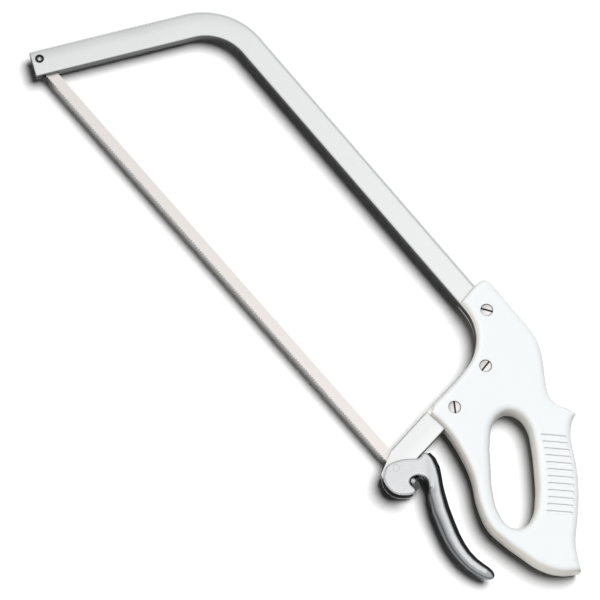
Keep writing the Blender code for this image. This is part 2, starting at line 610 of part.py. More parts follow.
# Handle screws: slotted heads in the front scale, each drawn into a sleeve nut from the back.
SLOT_TURNS = {"upper": 34.5, "middle": 100.5, "lower": -34.5}
head_radius = SCREW_HEAD_DIAMETER / 2
head_profile = [(0.0, head_face + SCREW_HEAD_CROWN), (head_radius / 2, head_face + SCREW_HEAD_CROWN * 0.75),
                (head_radius - SCREW_HEAD_EDGE, head_face), (head_radius, head_face - SCREW_HEAD_EDGE),
                (head_radius, seat_depth)]
shank, bore = SCREW_SHANK_DIAMETER / 2, SCREW_SHANK_DIAMETER / 2 + FIT_GAP
sleeve_top, shank_end = seat_depth - 2 * SEAT_GAP, -seat_depth + SCREW_HEAD_HEIGHT
for which, spot in screw_places.items():
    screw_profile = [*head_profile, (shank, seat_depth), (shank, shank_end), (0.0, shank_end)]
    screw = place(f"{which}_handle_screw", profile_mesh(f"{which}_handle_screw", screw_profile), SCREW_FINISH,
                  location=spot)
    turned_piece(screw)
    slot = tool(f"{which}_slot", box_mesh(f"{which}_slot", (
        -SCREW_HEAD_DIAMETER, -SCREW_SLOT_WIDTH / 2, head_face - SCREW_SLOT_DEPTH), (
        SCREW_HEAD_DIAMETER, SCREW_SLOT_WIDTH / 2, half_handle + SCREW_HEAD_HEIGHT)), location=spot)
    slot.rotation_euler = (0.0, 0.0, math.radians(SLOT_TURNS[which]))
    boolean(screw, "DIFFERENCE", slot)
    nut_profile = [(bore, sleeve_top), (SLEEVE_DIAMETER / 2, sleeve_top), (SLEEVE_DIAMETER / 2, -seat_depth),
                   *[(radius, -height) for radius, height in reversed(head_profile)],
                   (0.0, shank_end - SEAT_GAP), (bore, shank_end - SEAT_GAP), (bore, sleeve_top)]
    turned_piece(place(f"{which}_sleeve_nut", profile_mesh(f"{which}_sleeve_nut", nut_profile), SCREW_FINISH,
                       location=spot))

bpy.context.view_layer.update()
for label, spot in (("pivot", pivot), ("rear pin", rear_pin), ("front pin", front_pin)):
    print(label, [round(value, 5) for value in root.matrix_world @ spot])
print("slack", round(slack, 5), "stretch", round(stretch, 5))
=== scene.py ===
"""The looks of a butcher's bow saw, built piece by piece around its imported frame."""

import json
import math

import bmesh
import bpy
from mathutils import Matrix, Vector, geometry


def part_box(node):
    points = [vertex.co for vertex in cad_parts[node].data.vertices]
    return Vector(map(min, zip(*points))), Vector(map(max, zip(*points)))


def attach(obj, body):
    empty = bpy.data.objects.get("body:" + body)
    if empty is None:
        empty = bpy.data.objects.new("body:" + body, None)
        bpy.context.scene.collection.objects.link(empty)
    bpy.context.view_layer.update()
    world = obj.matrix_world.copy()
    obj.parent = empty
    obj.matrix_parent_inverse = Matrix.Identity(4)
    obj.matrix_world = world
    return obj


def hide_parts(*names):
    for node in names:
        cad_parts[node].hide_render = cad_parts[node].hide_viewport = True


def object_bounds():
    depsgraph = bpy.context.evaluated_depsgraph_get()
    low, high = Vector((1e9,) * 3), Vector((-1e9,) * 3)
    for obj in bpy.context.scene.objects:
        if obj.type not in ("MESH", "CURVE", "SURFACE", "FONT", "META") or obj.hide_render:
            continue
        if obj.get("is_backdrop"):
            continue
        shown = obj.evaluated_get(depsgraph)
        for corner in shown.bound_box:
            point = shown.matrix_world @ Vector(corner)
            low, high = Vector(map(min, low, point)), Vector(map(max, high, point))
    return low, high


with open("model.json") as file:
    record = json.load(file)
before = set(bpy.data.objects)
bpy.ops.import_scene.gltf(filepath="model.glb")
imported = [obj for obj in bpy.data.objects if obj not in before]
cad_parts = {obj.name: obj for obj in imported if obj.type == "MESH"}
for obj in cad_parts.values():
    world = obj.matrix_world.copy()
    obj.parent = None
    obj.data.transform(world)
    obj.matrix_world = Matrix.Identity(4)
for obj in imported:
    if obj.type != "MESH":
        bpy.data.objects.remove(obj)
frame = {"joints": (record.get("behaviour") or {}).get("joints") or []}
cad_low, cad_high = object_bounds()

# The frame is one flat bar of satin aluminium, bent cold to a bow with two equal bends. The front arm is left
# a little wider, and the lower arm is squared up and cut on a slant. Its two ends are slit for the blade. Its
# walls carry painted shade, and black painted shade fills the recess of the tip's pin and the wall beside
# the lever.
MM = 0.001
SPINE_WIDTH = 22.0 * MM
ARM_WIDTH = 24.0 * MM
OUTER_EDGE_RADIUS = 4.0 * MM
INNER_EDGE_RADIUS = 1.5 * MM
LOWER_EDGE_RADIUS = 1.2 * MM
EDGE_STEPS = 8
CAMBER = 0.35 * MM
BEND_RADIUS = 53.0 * MM
BEND_STEPS = 44
SPINE_LEAN = math.radians(0.93)
ARM_ANGLE = math.radians(65.0)
LOWER_ARM_LEAN = math.radians(7.1)
TIP_OVERHANG = 7.0 * MM
TIP_ROUNDING = 0.9 * MM
FRONT_PIN_OFFSET = 3.0 * MM
PIVOT_OFFSET = 3.2 * MM
NOSE_LENGTH = 11.5 * MM
NOSE_LEAN = math.radians(19.0)
BOSS_ROUNDING = 1.1 * MM
KERF = 1.8 * MM
CLEAR = 0.3 * MM
WELD = 0.001 * MM
SEAM = 0.005 * MM
FAR = 60.0 * MM
WALL_SHADE_RISE = (0.3, 0.9)
RELIEF = 0.1 * MM
ALUMINIUM = (0.92, 0.93, 0.93)
SHADE_BLACK = (0.05, 0.047, 0.045)


def centre_of(node):
    """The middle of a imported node's box."""
    low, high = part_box(node)
    return (low + high) / 2


def joint_point(name):
    """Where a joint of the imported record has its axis."""
    return Vector(next(joint["pos_m"] for joint in frame["joints"] if joint["name"] == name))


def heading_at(angle):
    """The unit vector at an angle from the blade's direction."""
    return Vector((math.cos(angle), math.sin(angle), 0.0))


def left_of(heading):
    """The unit vector a quarter turn to the left of a heading."""
    return Vector((-heading.y, heading.x, 0.0))


def crossing(point_a, heading_a, point_b, heading_b):
    """Where two lines in the plane of the saw cross, at the first point's height."""
    gap = point_b - point_a
    turn = heading_a.x * heading_b.y - heading_a.y * heading_b.x
    return point_a + heading_a * ((gap.x * heading_b.y - gap.y * heading_b.x) / turn)


def new_mesh(bm, name):
    """Turns a bmesh into a mesh with its faces pointing out."""
    bmesh.ops.recalc_face_normals(bm, faces=bm.faces)
    mesh = bpy.data.meshes.new(name)
    bm.to_mesh(mesh)
    bm.free()
    return mesh


def add_object(name, mesh, place=(0.0, 0.0, 0.0)):
    """Links a mesh to the scene as an object."""
    made = bpy.data.objects.new(name, mesh)
    made.location = place
    bpy.context.scene.collection.objects.link(made)
    return made


def skin(name, rings):
    """Skins a row of rings of equal counts and caps both ends."""
    bm = bmesh.new()
    rows = [[bm.verts.new(point) for point in ring] for ring in rings]
    for row, following in zip(rows, rows[1:]):
        for index, vert in enumerate(row):
            beside = (index + 1) % len(row)
            bm.faces.new((vert, row[beside], following[beside], following[index]))
    bm.faces.new(rows[0])
    bm.faces.new(rows[-1])
    return new_mesh(bm, name)


def turned(name, profile, segments=48):
    """A mesh spun from (radius, height) points, from the top of the axis down the outside to the bottom."""
    bm = bmesh.new()
    line = [bm.verts.new((radius, 0.0, height)) for radius, height in profile]
    edges = [bm.edges.new(pair) for pair in zip(line, line[1:])]
    bmesh.ops.spin(bm, geom=line + edges, cent=(0.0, 0.0, 0.0), axis=(0.0, 0.0, 1.0), angle=math.tau,
                   steps=segments, use_merge=True)
    bmesh.ops.remove_doubles(bm, verts=bm.verts, dist=SEAM)
    return new_mesh(bm, name)


def block(name, low, high):
    """A box between two corners."""
    bm = bmesh.new()
    low, high = Vector(low), Vector(high)
    bmesh.ops.create_cube(bm, size=1.0, matrix=Matrix.Translation((low + high) / 2)
                          @ Matrix.Diagonal((*(high - low), 1.0)))
    return new_mesh(bm, name)


def combine(piece, operation, body):
    """Adds a Boolean step with another body."""
    step = piece.modifiers.new(body.name, "BOOLEAN")
    step.operation = operation
    step.solver = "EXACT"
    step.object = body


def apply_steps(piece):
    """Makes what a piece's modifiers give its own mesh."""
    bpy.context.view_layer.update()
    worked = piece.evaluated_get(bpy.context.evaluated_depsgraph_get())
    piece.data = bpy.data.meshes.new_from_object(worked)
    piece.modifiers.clear()


def settle(piece, tools=(), sharp=35.0):
    """Applies a piece's modifiers, welds it, removes its tools and smooths it between its sharp edges."""
    apply_steps(piece)
    bm = bmesh.new()
    bm.from_mesh(piece.data)
    bmesh.ops.remove_doubles(bm, verts=bm.verts, dist=WELD)
    bmesh.ops.dissolve_degenerate(bm, edges=bm.edges, dist=WELD)
    bm.to_mesh(piece.data)
    bm.free()
    for body in tools:
        bpy.data.objects.remove(body, do_unlink=True)
    piece.data.shade_smooth()
    piece.data.set_sharp_from_angle(angle=math.radians(sharp))
    weigh = piece.modifiers.new("even_flats", "WEIGHTED_NORMAL")
    weigh.keep_sharp = True
    weigh.weight = 100
    apply_steps(piece)


def surface_group():
    """A shader group for worked surfaces: noise in tone and roughness, painted shade on walls, and a grain.
    """
    group = bpy.data.node_groups.new("worked_surface", "ShaderNodeTree")
    group.interface.new_socket("Stretch", in_out="INPUT", socket_type="NodeSocketVector")
    for name in ("Grain", "Patch", "Tone Spread", "Roughness", "Roughness Spread", "Painted Wall Shade"):
        taken_in = group.interface.new_socket(name, in_out="INPUT", socket_type="NodeSocketFloat")
        taken_in.default_value = 1.0
    for name in ("Tone", "Roughness", "Height"):
        group.interface.new_socket(name, in_out="OUTPUT", socket_type="NodeSocketFloat")
    nodes, links = group.nodes, group.links
    taken, given = nodes.new("NodeGroupInput"), nodes.new("NodeGroupOutput")
    place, stretch = nodes.new("ShaderNodeTexCoord"), nodes.new("ShaderNodeMapping")
    grain, patch = nodes.new("ShaderNodeTexNoise"), nodes.new("ShaderNodeTexNoise")
    grain.inputs["Detail"].default_value = 5.0
    patch.inputs["Detail"].default_value = 3.0
    links.new(place.outputs["Object"], stretch.inputs["Vector"])
    links.new(taken.outputs["Stretch"], stretch.inputs["Scale"])
    links.new(stretch.outputs["Vector"], grain.inputs["Vector"])
    links.new(place.outputs["Object"], patch.inputs["Vector"])
    links.new(taken.outputs["Grain"], grain.inputs["Scale"])
    links.new(taken.outputs["Patch"], patch.inputs["Scale"])
    mixed = nodes.new("ShaderNodeMath")
    mixed.operation = "ADD"
    links.new(grain.outputs["Fac"], mixed.inputs[0])
    links.new(patch.outputs["Fac"], mixed.inputs[1])
    centred = nodes.new("ShaderNodeMath")
    centred.operation = "SUBTRACT"
    centred.inputs[1].default_value = 1.0
    links.new(mixed.outputs[0], centred.inputs[0])
    for spread, base, output in (("Tone Spread", None, "Tone"),
                                 ("Roughness Spread", "Roughness", "Roughness")):
        scaled = nodes.new("ShaderNodeMath")
        scaled.operation = "MULTIPLY_ADD"
        scaled.inputs[2].default_value = 1.0
        links.new(centred.outputs[0], scaled.inputs[0])
        links.new(taken.outputs[spread], scaled.inputs[1])
        if base:
            links.new(taken.outputs[base], scaled.inputs[2])
        links.new(scaled.outputs[0], given.inputs[output])
    parts, upright = nodes.new("ShaderNodeSeparateXYZ"), nodes.new("ShaderNodeMath")
    upright.operation = "ABSOLUTE"
    links.new(place.outputs["Normal"], parts.inputs[0])
    links.new(parts.outputs["Z"], upright.inputs[0])
    # Painted shade: faces that stand steeply are darkened by the Painted Wall Shade factor.
    wall_shade = nodes.new("ShaderNodeMapRange")
    wall_shade.interpolation_type = "SMOOTHSTEP"
    wall_shade.inputs["From Min"].default_value = WALL_SHADE_RISE[0]
    wall_shade.inputs["From Max"].default_value = WALL_SHADE_RISE[1]
    links.new(upright.outputs[0], wall_shade.inputs["Value"])
    links.new(taken.outputs["Painted Wall Shade"], wall_shade.inputs["To Min"])
    toned = nodes.new("ShaderNodeMath")
    toned.operation = "MULTIPLY"
    links.new(given.inputs["Tone"].links[0].from_socket, toned.inputs[0])
    links.new(wall_shade.outputs["Result"], toned.inputs[1])
    links.new(toned.outputs[0], given.inputs["Tone"])
    links.new(grain.outputs["Fac"], given.inputs["Height"])
    return group


worked_surface = surface_group()


def finish(name, colour, metallic, grain, bump):
    """A Principled material whose tone, roughness and relief come from the worked surface."""
    material = bpy.data.materials.new(name)
    material.use_nodes = True
    nodes, links = material.node_tree.nodes, material.node_tree.links
    shader = nodes["Principled BSDF"]
    shader.inputs["Metallic"].default_value = metallic
    worked = nodes.new("ShaderNodeGroup")
    worked.node_tree = worked_surface
    for socket, value in grain.items():
        worked.inputs[socket].default_value = value
    tint = nodes.new("ShaderNodeMix")
    tint.data_type = "RGBA"
    tint.blend_type = "MULTIPLY"
    tint.inputs["Factor"].default_value = 1.0
    tint.inputs["A"].default_value = (*colour, 1.0)
    links.new(worked.outputs["Tone"], tint.inputs["B"])
    links.new(tint.outputs["Result"], shader.inputs["Base Color"])
    links.new(worked.outputs["Roughness"], shader.inputs["Roughness"])
    relief = nodes.new("ShaderNodeBump")
    relief.inputs["Strength"].default_value = bump
    relief.inputs["Distance"].default_value = RELIEF
    links.new(worked.outputs["Height"], relief.inputs["Height"])
    links.new(relief.outputs["Normal"], shader.inputs["Normal"])
    return material


bar_low, bar_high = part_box("frame_bar")
half_bar = (bar_high.z - bar_low.z) / 2
middle = Vector((0.0, 0.0, (bar_high.z + bar_low.z) / 2))
front_pin = centre_of("front_blade_pin")
pivot = joint_point("lever_pivot")
rear_pin = joint_point("blade_hinge")
arm_heading = heading_at(ARM_ANGLE)
spine_heading = heading_at(-SPINE_LEAN)
lower_heading = heading_at(LOWER_ARM_LEAN - math.pi / 2)
arm_foot = front_pin - left_of(arm_heading) * FRONT_PIN_OFFSET
front_corner = crossing(arm_foot, arm_heading, middle, spine_heading)
lower_end = pivot - left_of(lower_heading) * PIVOT_OFFSET
boss_radius = SPINE_WIDTH / 2 + PIVOT_OFFSET


def bend(corner, heading_in, heading_out, steps=BEND_STEPS):
    """Points and headings round a right-hand bend of the bar's centre line."""
    turn = heading_in.angle(heading_out)
    start = corner - heading_in * BEND_RADIUS * math.tan(turn / 2)
    centre = start - left_of(heading_in) * BEND_RADIUS
    first = math.atan2(heading_in.y, heading_in.x)
    headings = [heading_at(first - turn * step / steps) for step in range(steps + 1)]
    return [(centre + left_of(heading) * BEND_RADIUS, heading) for heading in headings]


def bar_section(width, outer_radius, grow=0.0):
    """The bar's section as (outward, up) points: full outer corners, tight inner ones and a slight camber."""
    outer, inner = width / 2 + grow - outer_radius, width / 2 + grow - INNER_EDGE_RADIUS
    top = half_bar + grow
    quarter = [math.radians(90.0 * step / EDGE_STEPS) for step in range(EDGE_STEPS)]
    upper = [(outer + outer_radius * math.cos(angle), top - CAMBER - outer_radius * (1.0 - math.sin(angle)))
             for angle in quarter]
    upper += [(outer * share, top - CAMBER * share ** 2) for share in (1.0, 0.75, 0.5, 0.25, 0.0)]
    upper += [(-inner - INNER_EDGE_RADIUS * math.sin(angle),
               top - INNER_EDGE_RADIUS * (1.0 - math.cos(angle))) for angle in (*quarter, math.pi / 2)]
    return upper + [(across, -up) for across, up in reversed(upper)]


def bar_ring(point, heading, width, outer_radius=OUTER_EDGE_RADIUS, grow=0.0):
    """The bar's section set square to its centre line at one point."""
    outward = left_of(heading)
    return [point + outward * across + Vector((0.0, 0.0, up))
            for across, up in bar_section(width, outer_radius, grow)]


front_bend = bend(front_corner, arm_heading, spine_heading)
heel_bend = bend(middle, spine_heading, lower_heading)


def heel_rings(grow=0.0):
    """The bar round the heel and down the lower arm, where its outer corners are squared up."""
    rings = []
    for step, (point, heading) in enumerate(heel_bend):
        outer_radius = OUTER_EDGE_RADIUS + (LOWER_EDGE_RADIUS - OUTER_EDGE_RADIUS) * step / BEND_STEPS
        rings.append(bar_ring(point, heading, SPINE_WIDTH, outer_radius, grow))
    rings.append(bar_ring(lower_end, lower_heading, SPINE_WIDTH, LOWER_EDGE_RADIUS, grow))
    return rings


bar_rings = []
for angle in (0.0, 22.5, 45.0, 67.5, 90.0):
    inset = TIP_ROUNDING * (1.0 - math.sin(math.radians(angle)))
    along = TIP_ROUNDING * (1.0 - math.cos(math.radians(angle))) - TIP_OVERHANG
    bar_rings.append(bar_ring(arm_foot + arm_heading * along, arm_heading, ARM_WIDTH, grow=-inset))
for step, (point, heading) in enumerate(front_bend):
    bar_rings.append(bar_ring(point, heading, ARM_WIDTH + (SPINE_WIDTH - ARM_WIDTH) * step / BEND_STEPS))
bow_frame = add_object("bow_frame", skin("bow_frame", bar_rings + heel_rings()))

rim = [(boss_radius - BOSS_ROUNDING * (1.0 - math.sin(math.radians(a))),
        half_bar - BOSS_ROUNDING * (1.0 - math.cos(math.radians(a)))) for a in (0, 30, 60, 90)]
boss_profile = [(0.0, half_bar), *rim, *[(radius, -height) for radius, height in reversed(rim)],
                (0.0, -half_bar)]
end_boss = add_object("end_boss", turned("end_boss", boss_profile, segments=72), pivot)
combine(bow_frame, "UNION", end_boss)
nose_cut = add_object("nose_cut", block("nose_cut", (-FAR, -FAR, -FAR), (FAR, 0.0, FAR)),
                      lower_end - lower_heading * NOSE_LENGTH - left_of(lower_heading) * SPINE_WIDTH / 2)
nose_cut.rotation_euler.z = LOWER_ARM_LEAN - math.pi / 2 + NOSE_LEAN
combine(bow_frame, "DIFFERENCE", nose_cut)
blade_low, blade_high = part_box("saw_blade")
BLADE_WIDTH = blade_high.y - blade_low.y
tip_reach = (ARM_WIDTH / 2 + FRONT_PIN_OFFSET) / math.tan(ARM_ANGLE) + BLADE_WIDTH / 2 / math.sin(ARM_ANGLE)
tip_slit = block("tip_kerf", (-FAR, -FAR, -KERF / 2), (tip_reach + KERF, FAR, KERF / 2))
tip_kerf = add_object("tip_kerf", tip_slit, arm_foot)
tip_kerf.rotation_euler.z = ARM_ANGLE
combine(bow_frame, "DIFFERENCE", tip_kerf)
kerf_top = rear_pin.y - pivot.y + BLADE_WIDTH / 2 + KERF
end_slit = block("end_kerf", (-FAR, -FAR, -KERF / 2), (FAR, kerf_top, KERF / 2))
end_kerf = add_object("end_kerf", end_slit, pivot)
combine(bow_frame, "DIFFERENCE", end_kerf)

PIN_BORE = 2.15 * MM
PIN_RECESS = 3.8 * MM
PIN_RECESS_DEPTH = 2.2 * MM
RECESS_CHAMFER = 0.5 * MM
SHADED_WALL_FACING = 0.98
recess_floor = half_bar - PIN_RECESS_DEPTH
half_bore = [(0.0, half_bar + CLEAR), (PIN_RECESS + RECESS_CHAMFER + CLEAR, half_bar + CLEAR),
             (PIN_RECESS, half_bar - RECESS_CHAMFER), (PIN_RECESS, recess_floor), (PIN_BORE, recess_floor)]
pin_bore = turned("pin_bore", half_bore + [(radius, -height) for radius, height in reversed(half_bore)])
pin_hole = add_object("pin_hole", pin_bore, front_pin)
combine(bow_frame, "DIFFERENCE", pin_hole)
STUD_BORE = 3.15 * MM
bore_end = half_bar + CLEAR
stud_bore = add_object("stud_bore", turned("stud_bore", [
    (0.0, bore_end), (STUD_BORE, bore_end), (STUD_BORE, -bore_end), (0.0, -bore_end)]), pivot)
combine(bow_frame, "DIFFERENCE", stud_bore)
bar_tools = [end_boss, nose_cut, tip_kerf, end_kerf, pin_hole, stud_bore]
settle(bow_frame, bar_tools)
# The bar's walls are darkened to a tenth with painted shade.
bow_frame.data.materials.append(finish(
    "satin_aluminium", ALUMINIUM, 1.0,
    {"Stretch": (1.0, 1.0, 1.0), "Grain": 2600.0, "Patch": 26.0, "Tone Spread": 0.07, "Roughness": 0.3,
     "Roughness Spread": 0.12, "Painted Wall Shade": 0.1}, bump=0.05))
# A black finish for painted shade, put in recesses, slots and gaps where shade falls.
painted_shade = finish(
    "painted_shade", SHADE_BLACK, 0.0,
    {"Stretch": (1.0, 1.0, 1.0), "Grain": 2500.0, "Patch": 400.0, "Tone Spread": 0.6, "Roughness": 0.7,
     "Roughness Spread": 0.2}, bump=0.3)
bow_frame.data.materials.append(painted_shade)
# Painted shade: the tip pin's recess and the bar's wall beside the lever turn black.
for side in bow_frame.data.polygons:
    inward = side.center - front_pin
    in_recess = inward.xy.length < PIN_RECESS and abs(inward.z) < half_bar - RECESS_CHAMFER
    in_lever_shade = side.normal.dot(left_of(lower_heading)) > SHADED_WALL_FACING
    side.material_index = int(in_recess or in_lever_shade)
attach(bow_frame, "frame")
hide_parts("frame_bar")

# The blade is a thin hardened strip, punched with a row of raked teeth along its outer edge. The teeth are
# bent a little to either side in turn. A slot at its front goes over the tip's pin, and its rear eye holds
# the pin that the lever hooks.
TOOTH_PITCH = 2.6 * MM
TOOTH_DEPTH = 1.1 * MM
TOOTH_RAKE = 0.5 * MM
TOOTH_SET = 0.22 * MM
TOOTHLESS_END = 14.0 * MM
BLADE_CORNER = BLADE_WIDTH / 4
SLOT_PLAY = 0.75 * MM
FRONT_PIN_RADIUS = 2.0 * MM
BLADE_STEEL = (0.93, 0.885, 0.85)
PAINTED_SHADE_STEEL = (0.10, 0.10, 0.10, 1.0)
PAINTED_SHADE_REACH = 9.0 * MM
blade_half = BLADE_WIDTH / 2
blade_thickness = blade_high.z - blade_low.z


def sample_loop(knots, resolution):
    """Samples a closed curve of (x, y, corner) knots: smooth through its knots, straight into its corners."""
    curve = bpy.data.curves.new("sampled", "CURVE")
    curve.dimensions = "2D"
    spline = curve.splines.new("BEZIER")
    spline.bezier_points.add(len(knots) - 1)
    spline.use_cyclic_u = True
    for point, (x, y, corner) in zip(spline.bezier_points, knots):
        point.co = (x, y, 0.0)
        point.handle_left_type = "VECTOR" if corner else "AUTO"
        point.handle_right_type = point.handle_left_type
    holder = add_object("sampled", curve)
    bpy.context.view_layer.update()
    points = []
    knots = list(spline.bezier_points)
    for here, there in zip(knots, knots[1:] + knots[:1]):
        points += geometry.interpolate_bezier(here.co, here.handle_right, there.handle_left, there.co,
                                              resolution + 1)[:-1]
    bpy.data.objects.remove(holder, do_unlink=True)
    return [Vector((point.x, point.y, 0.0)) for point in points]


def filled(name, loops, half_thickness, edge_radius=0.0, edge_steps=0):
    """Fills closed loops of points and gives them thickness, with both rims rounded."""
    curve = bpy.data.curves.new(name, "CURVE")
    curve.dimensions = "2D"
    curve.fill_mode = "BOTH"
    curve.extrude = half_thickness - edge_radius
    curve.bevel_depth = edge_radius
    curve.bevel_resolution = edge_steps
    curve.offset = -edge_radius
    for loop in loops:
        spline = curve.splines.new("POLY")
        spline.points.add(len(loop) - 1)
        spline.use_cyclic_u = True
        for point, spot in zip(spline.points, loop):
            point.co = (spot.x, spot.y, 0.0, 1.0)
    holder = add_object(name, curve)
    bpy.context.view_layer.update()
    mesh = bpy.data.meshes.new_from_object(holder.evaluated_get(bpy.context.evaluated_depsgraph_get()))
    bpy.data.objects.remove(holder, do_unlink=True)
    bm = bmesh.new()
    bm.from_mesh(mesh)
    bmesh.ops.remove_doubles(bm, verts=bm.verts, dist=SEAM)
    bpy.data.meshes.remove(mesh)
    return new_mesh(bm, name)


def blade_edge():
    """The blade's outline: a plain back, cropped corners and the row of teeth."""
    front, back = blade_low.x - rear_pin.x, blade_high.x - rear_pin.x
    points = [(back - BLADE_CORNER, blade_half), (front + BLADE_CORNER, blade_half),
              (front, blade_half - BLADE_CORNER), (front, BLADE_CORNER - blade_half),
              (front + BLADE_CORNER, -blade_half)]
    first = front + TOOTHLESS_END
    teeth = int((back - TOOTHLESS_END - first) / TOOTH_PITCH)
    for tooth in range(teeth):
        start = first + tooth * TOOTH_PITCH
        points += [(start, -blade_half), (start + TOOTH_RAKE, TOOTH_DEPTH - blade_half)]
    points += [(first + teeth * TOOTH_PITCH, -blade_half), (back - BLADE_CORNER, -blade_half),
               (back, BLADE_CORNER - blade_half), (back, blade_half - BLADE_CORNER)]
    return [Vector((x, y, 0.0)) for x, y in points]


def round_slot(low, high, half, steps=16):
    """A slot with round ends."""
    points = []
    for end, start in ((high - half, -90.0), (low + half, 90.0)):
        points += [Vector((end, 0.0, 0.0)) + heading_at(math.radians(start + 180.0 * step / steps)) * half
                   for step in range(steps + 1)]
    return points


lever_range = next(joint["range_deg"] for joint in frame["joints"] if joint["name"] == "lever_pivot")
swing = math.radians(-lever_range[0])
throw = rear_pin - pivot
slack = throw.x - (Matrix.Rotation(-swing, 3, "Z") @ throw).x
stretch = throw.length - throw.x
pin_at = front_pin.x - rear_pin.x
slot = round_slot(pin_at - FRONT_PIN_RADIUS - stretch - CLEAR, pin_at + FRONT_PIN_RADIUS + slack + CLEAR,
                  FRONT_PIN_RADIUS + SLOT_PLAY)
REAR_PIN_RADIUS = 2.5 * MM
eye_radius = REAR_PIN_RADIUS + CLEAR / 2
eye = round_slot(-eye_radius, eye_radius, eye_radius)
blade_strip = filled("toothed_blade", [blade_edge(), slot, eye], blade_thickness / 2)
toothed_blade = add_object("toothed_blade", blade_strip, rear_pin)
first_tooth = blade_low.x - rear_pin.x + TOOTHLESS_END
for vert in toothed_blade.data.vertices:
    tooth = round((vert.co.x - first_tooth) / TOOTH_PITCH)
    at_point = vert.co - Vector((first_tooth + tooth * TOOTH_PITCH, -blade_half, vert.co.z))
    if at_point.length < TOOTH_SET:
        vert.co.z += TOOTH_SET if tooth % 2 else -TOOTH_SET
settle(toothed_blade, sharp=20.0)


def heading_group(name, coordinate, both_ways=False):
    """A shader group whose mask rises from 0 to 1 along a heading, or both ways, by points or by normals."""
    group = bpy.data.node_groups.new(name, "ShaderNodeTree")
    group.interface.new_socket("Heading", in_out="INPUT", socket_type="NodeSocketVector")
    for level in ("Start", "Full"):
        group.interface.new_socket(level, in_out="INPUT", socket_type="NodeSocketFloat")
    group.interface.new_socket("Mask", in_out="OUTPUT", socket_type="NodeSocketFloat")
    nodes, links = group.nodes, group.links
    taken, given = nodes.new("NodeGroupInput"), nodes.new("NodeGroupOutput")
    place, along = nodes.new("ShaderNodeTexCoord"), nodes.new("ShaderNodeVectorMath")
    along.operation = "DOT_PRODUCT"
    links.new(place.outputs[coordinate], along.inputs[0])
    links.new(taken.outputs["Heading"], along.inputs[1])
    rising = nodes.new("ShaderNodeMapRange")
    rising.interpolation_type = "SMOOTHSTEP"
    reached = along.outputs["Value"]
    if both_ways:
        size = nodes.new("ShaderNodeMath")
        size.operation = "ABSOLUTE"
        links.new(reached, size.inputs[0])
        reached = size.outputs[0]
    links.new(reached, rising.inputs["Value"])
    links.new(taken.outputs["Start"], rising.inputs["From Min"])
    links.new(taken.outputs["Full"], rising.inputs["From Max"])
    links.new(rising.outputs["Result"], given.inputs["Mask"])
    return group


reach_along = heading_group("reach_along", "Object")


def blended(material, base, target, group, heading, start, full):
    """A mix in a finish, from one value or feed to another as a group's mask rises."""
    nodes, links = material.node_tree.nodes, material.node_tree.links
    reach, mixed = nodes.new("ShaderNodeGroup"), nodes.new("ShaderNodeMix")
    reach.node_tree = group
    for name, value in (("Heading", heading), ("Start", start), ("Full", full)):
        reach.inputs[name].default_value = value
    mixed.data_type = "FLOAT" if isinstance(target, float) else "RGBA"
    links.new(reach.outputs["Mask"], mixed.inputs["Factor"])
    for end, feed in (("A", base), ("B", target)):
        if isinstance(feed, bpy.types.NodeSocket):
            links.new(feed, mixed.inputs[end])
        else:
            mixed.inputs[end].default_value = feed
    return mixed.outputs["Result"]


def lead_over(material, socket, target, *way):
    """Leads what feeds one socket of a finish over to a value or another feed, as a group's mask rises."""
    fed = material.node_tree.nodes["Principled BSDF"].inputs[socket]
    material.node_tree.links.new(blended(material, fed.links[0].from_socket, target, *way), fed)


blade_steel = finish(
    "blade_steel", BLADE_STEEL, 1.0,
    {"Stretch": (0.06, 1.0, 1.0), "Grain": 2400.0, "Patch": 70.0, "Tone Spread": 0.12, "Roughness": 0.32,
     "Roughness Spread": 0.16}, bump=0.12)
# Painted shade: the blade's rear end, inside the lever's mouth, turns near black.
lead_over(blade_steel, "Base Color", PAINTED_SHADE_STEEL, reach_along, heading_at(0.0), -PAINTED_SHADE_REACH,
          REAR_PIN_RADIUS - PAINTED_SHADE_REACH / 2)
toothed_blade.data.materials.append(blade_steel)
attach(toothed_blade, "blade")
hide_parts("saw_blade")

# Two turned steel pins hold the blade: one riveted across the tip with a domed head in each recess, and one
# through the blade's own rear eye. Two short studs carry the lever, with the blade passing between them. They
# are ground flush with its cheeks and take its cast finish.
PIN_HEAD = 2.3 * MM
PIN_HEAD_RISE = 1.8 * MM
PIN_CROWN = 1.7 * MM
STUD_CHAMFER = 0.1 * MM
PIN_STEEL = (0.70, 0.71, 0.73)
turned_steel = finish("turned_steel", PIN_STEEL, 1.0,
                      {"Stretch": (1.0, 1.0, 1.0), "Grain": 3000.0, "Patch": 300.0, "Tone Spread": 0.1,
                       "Roughness": 0.24, "Roughness Spread": 0.1}, bump=0.04)
dome_angles = [math.radians(degrees) for degrees in range(0, 91, 10)]
head_base = recess_floor + CLEAR
pin_low, pin_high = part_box("rear_blade_pin")
pin_end = (pin_high.z - pin_low.z) / 2


def even_pin(name, half_profile, place):
    """A pin spun from the profile of its upper half, alike at both ends."""
    profile = half_profile + [(radius, -height) for radius, height in reversed(half_profile)]
    return add_object(name, turned(name, profile), place)


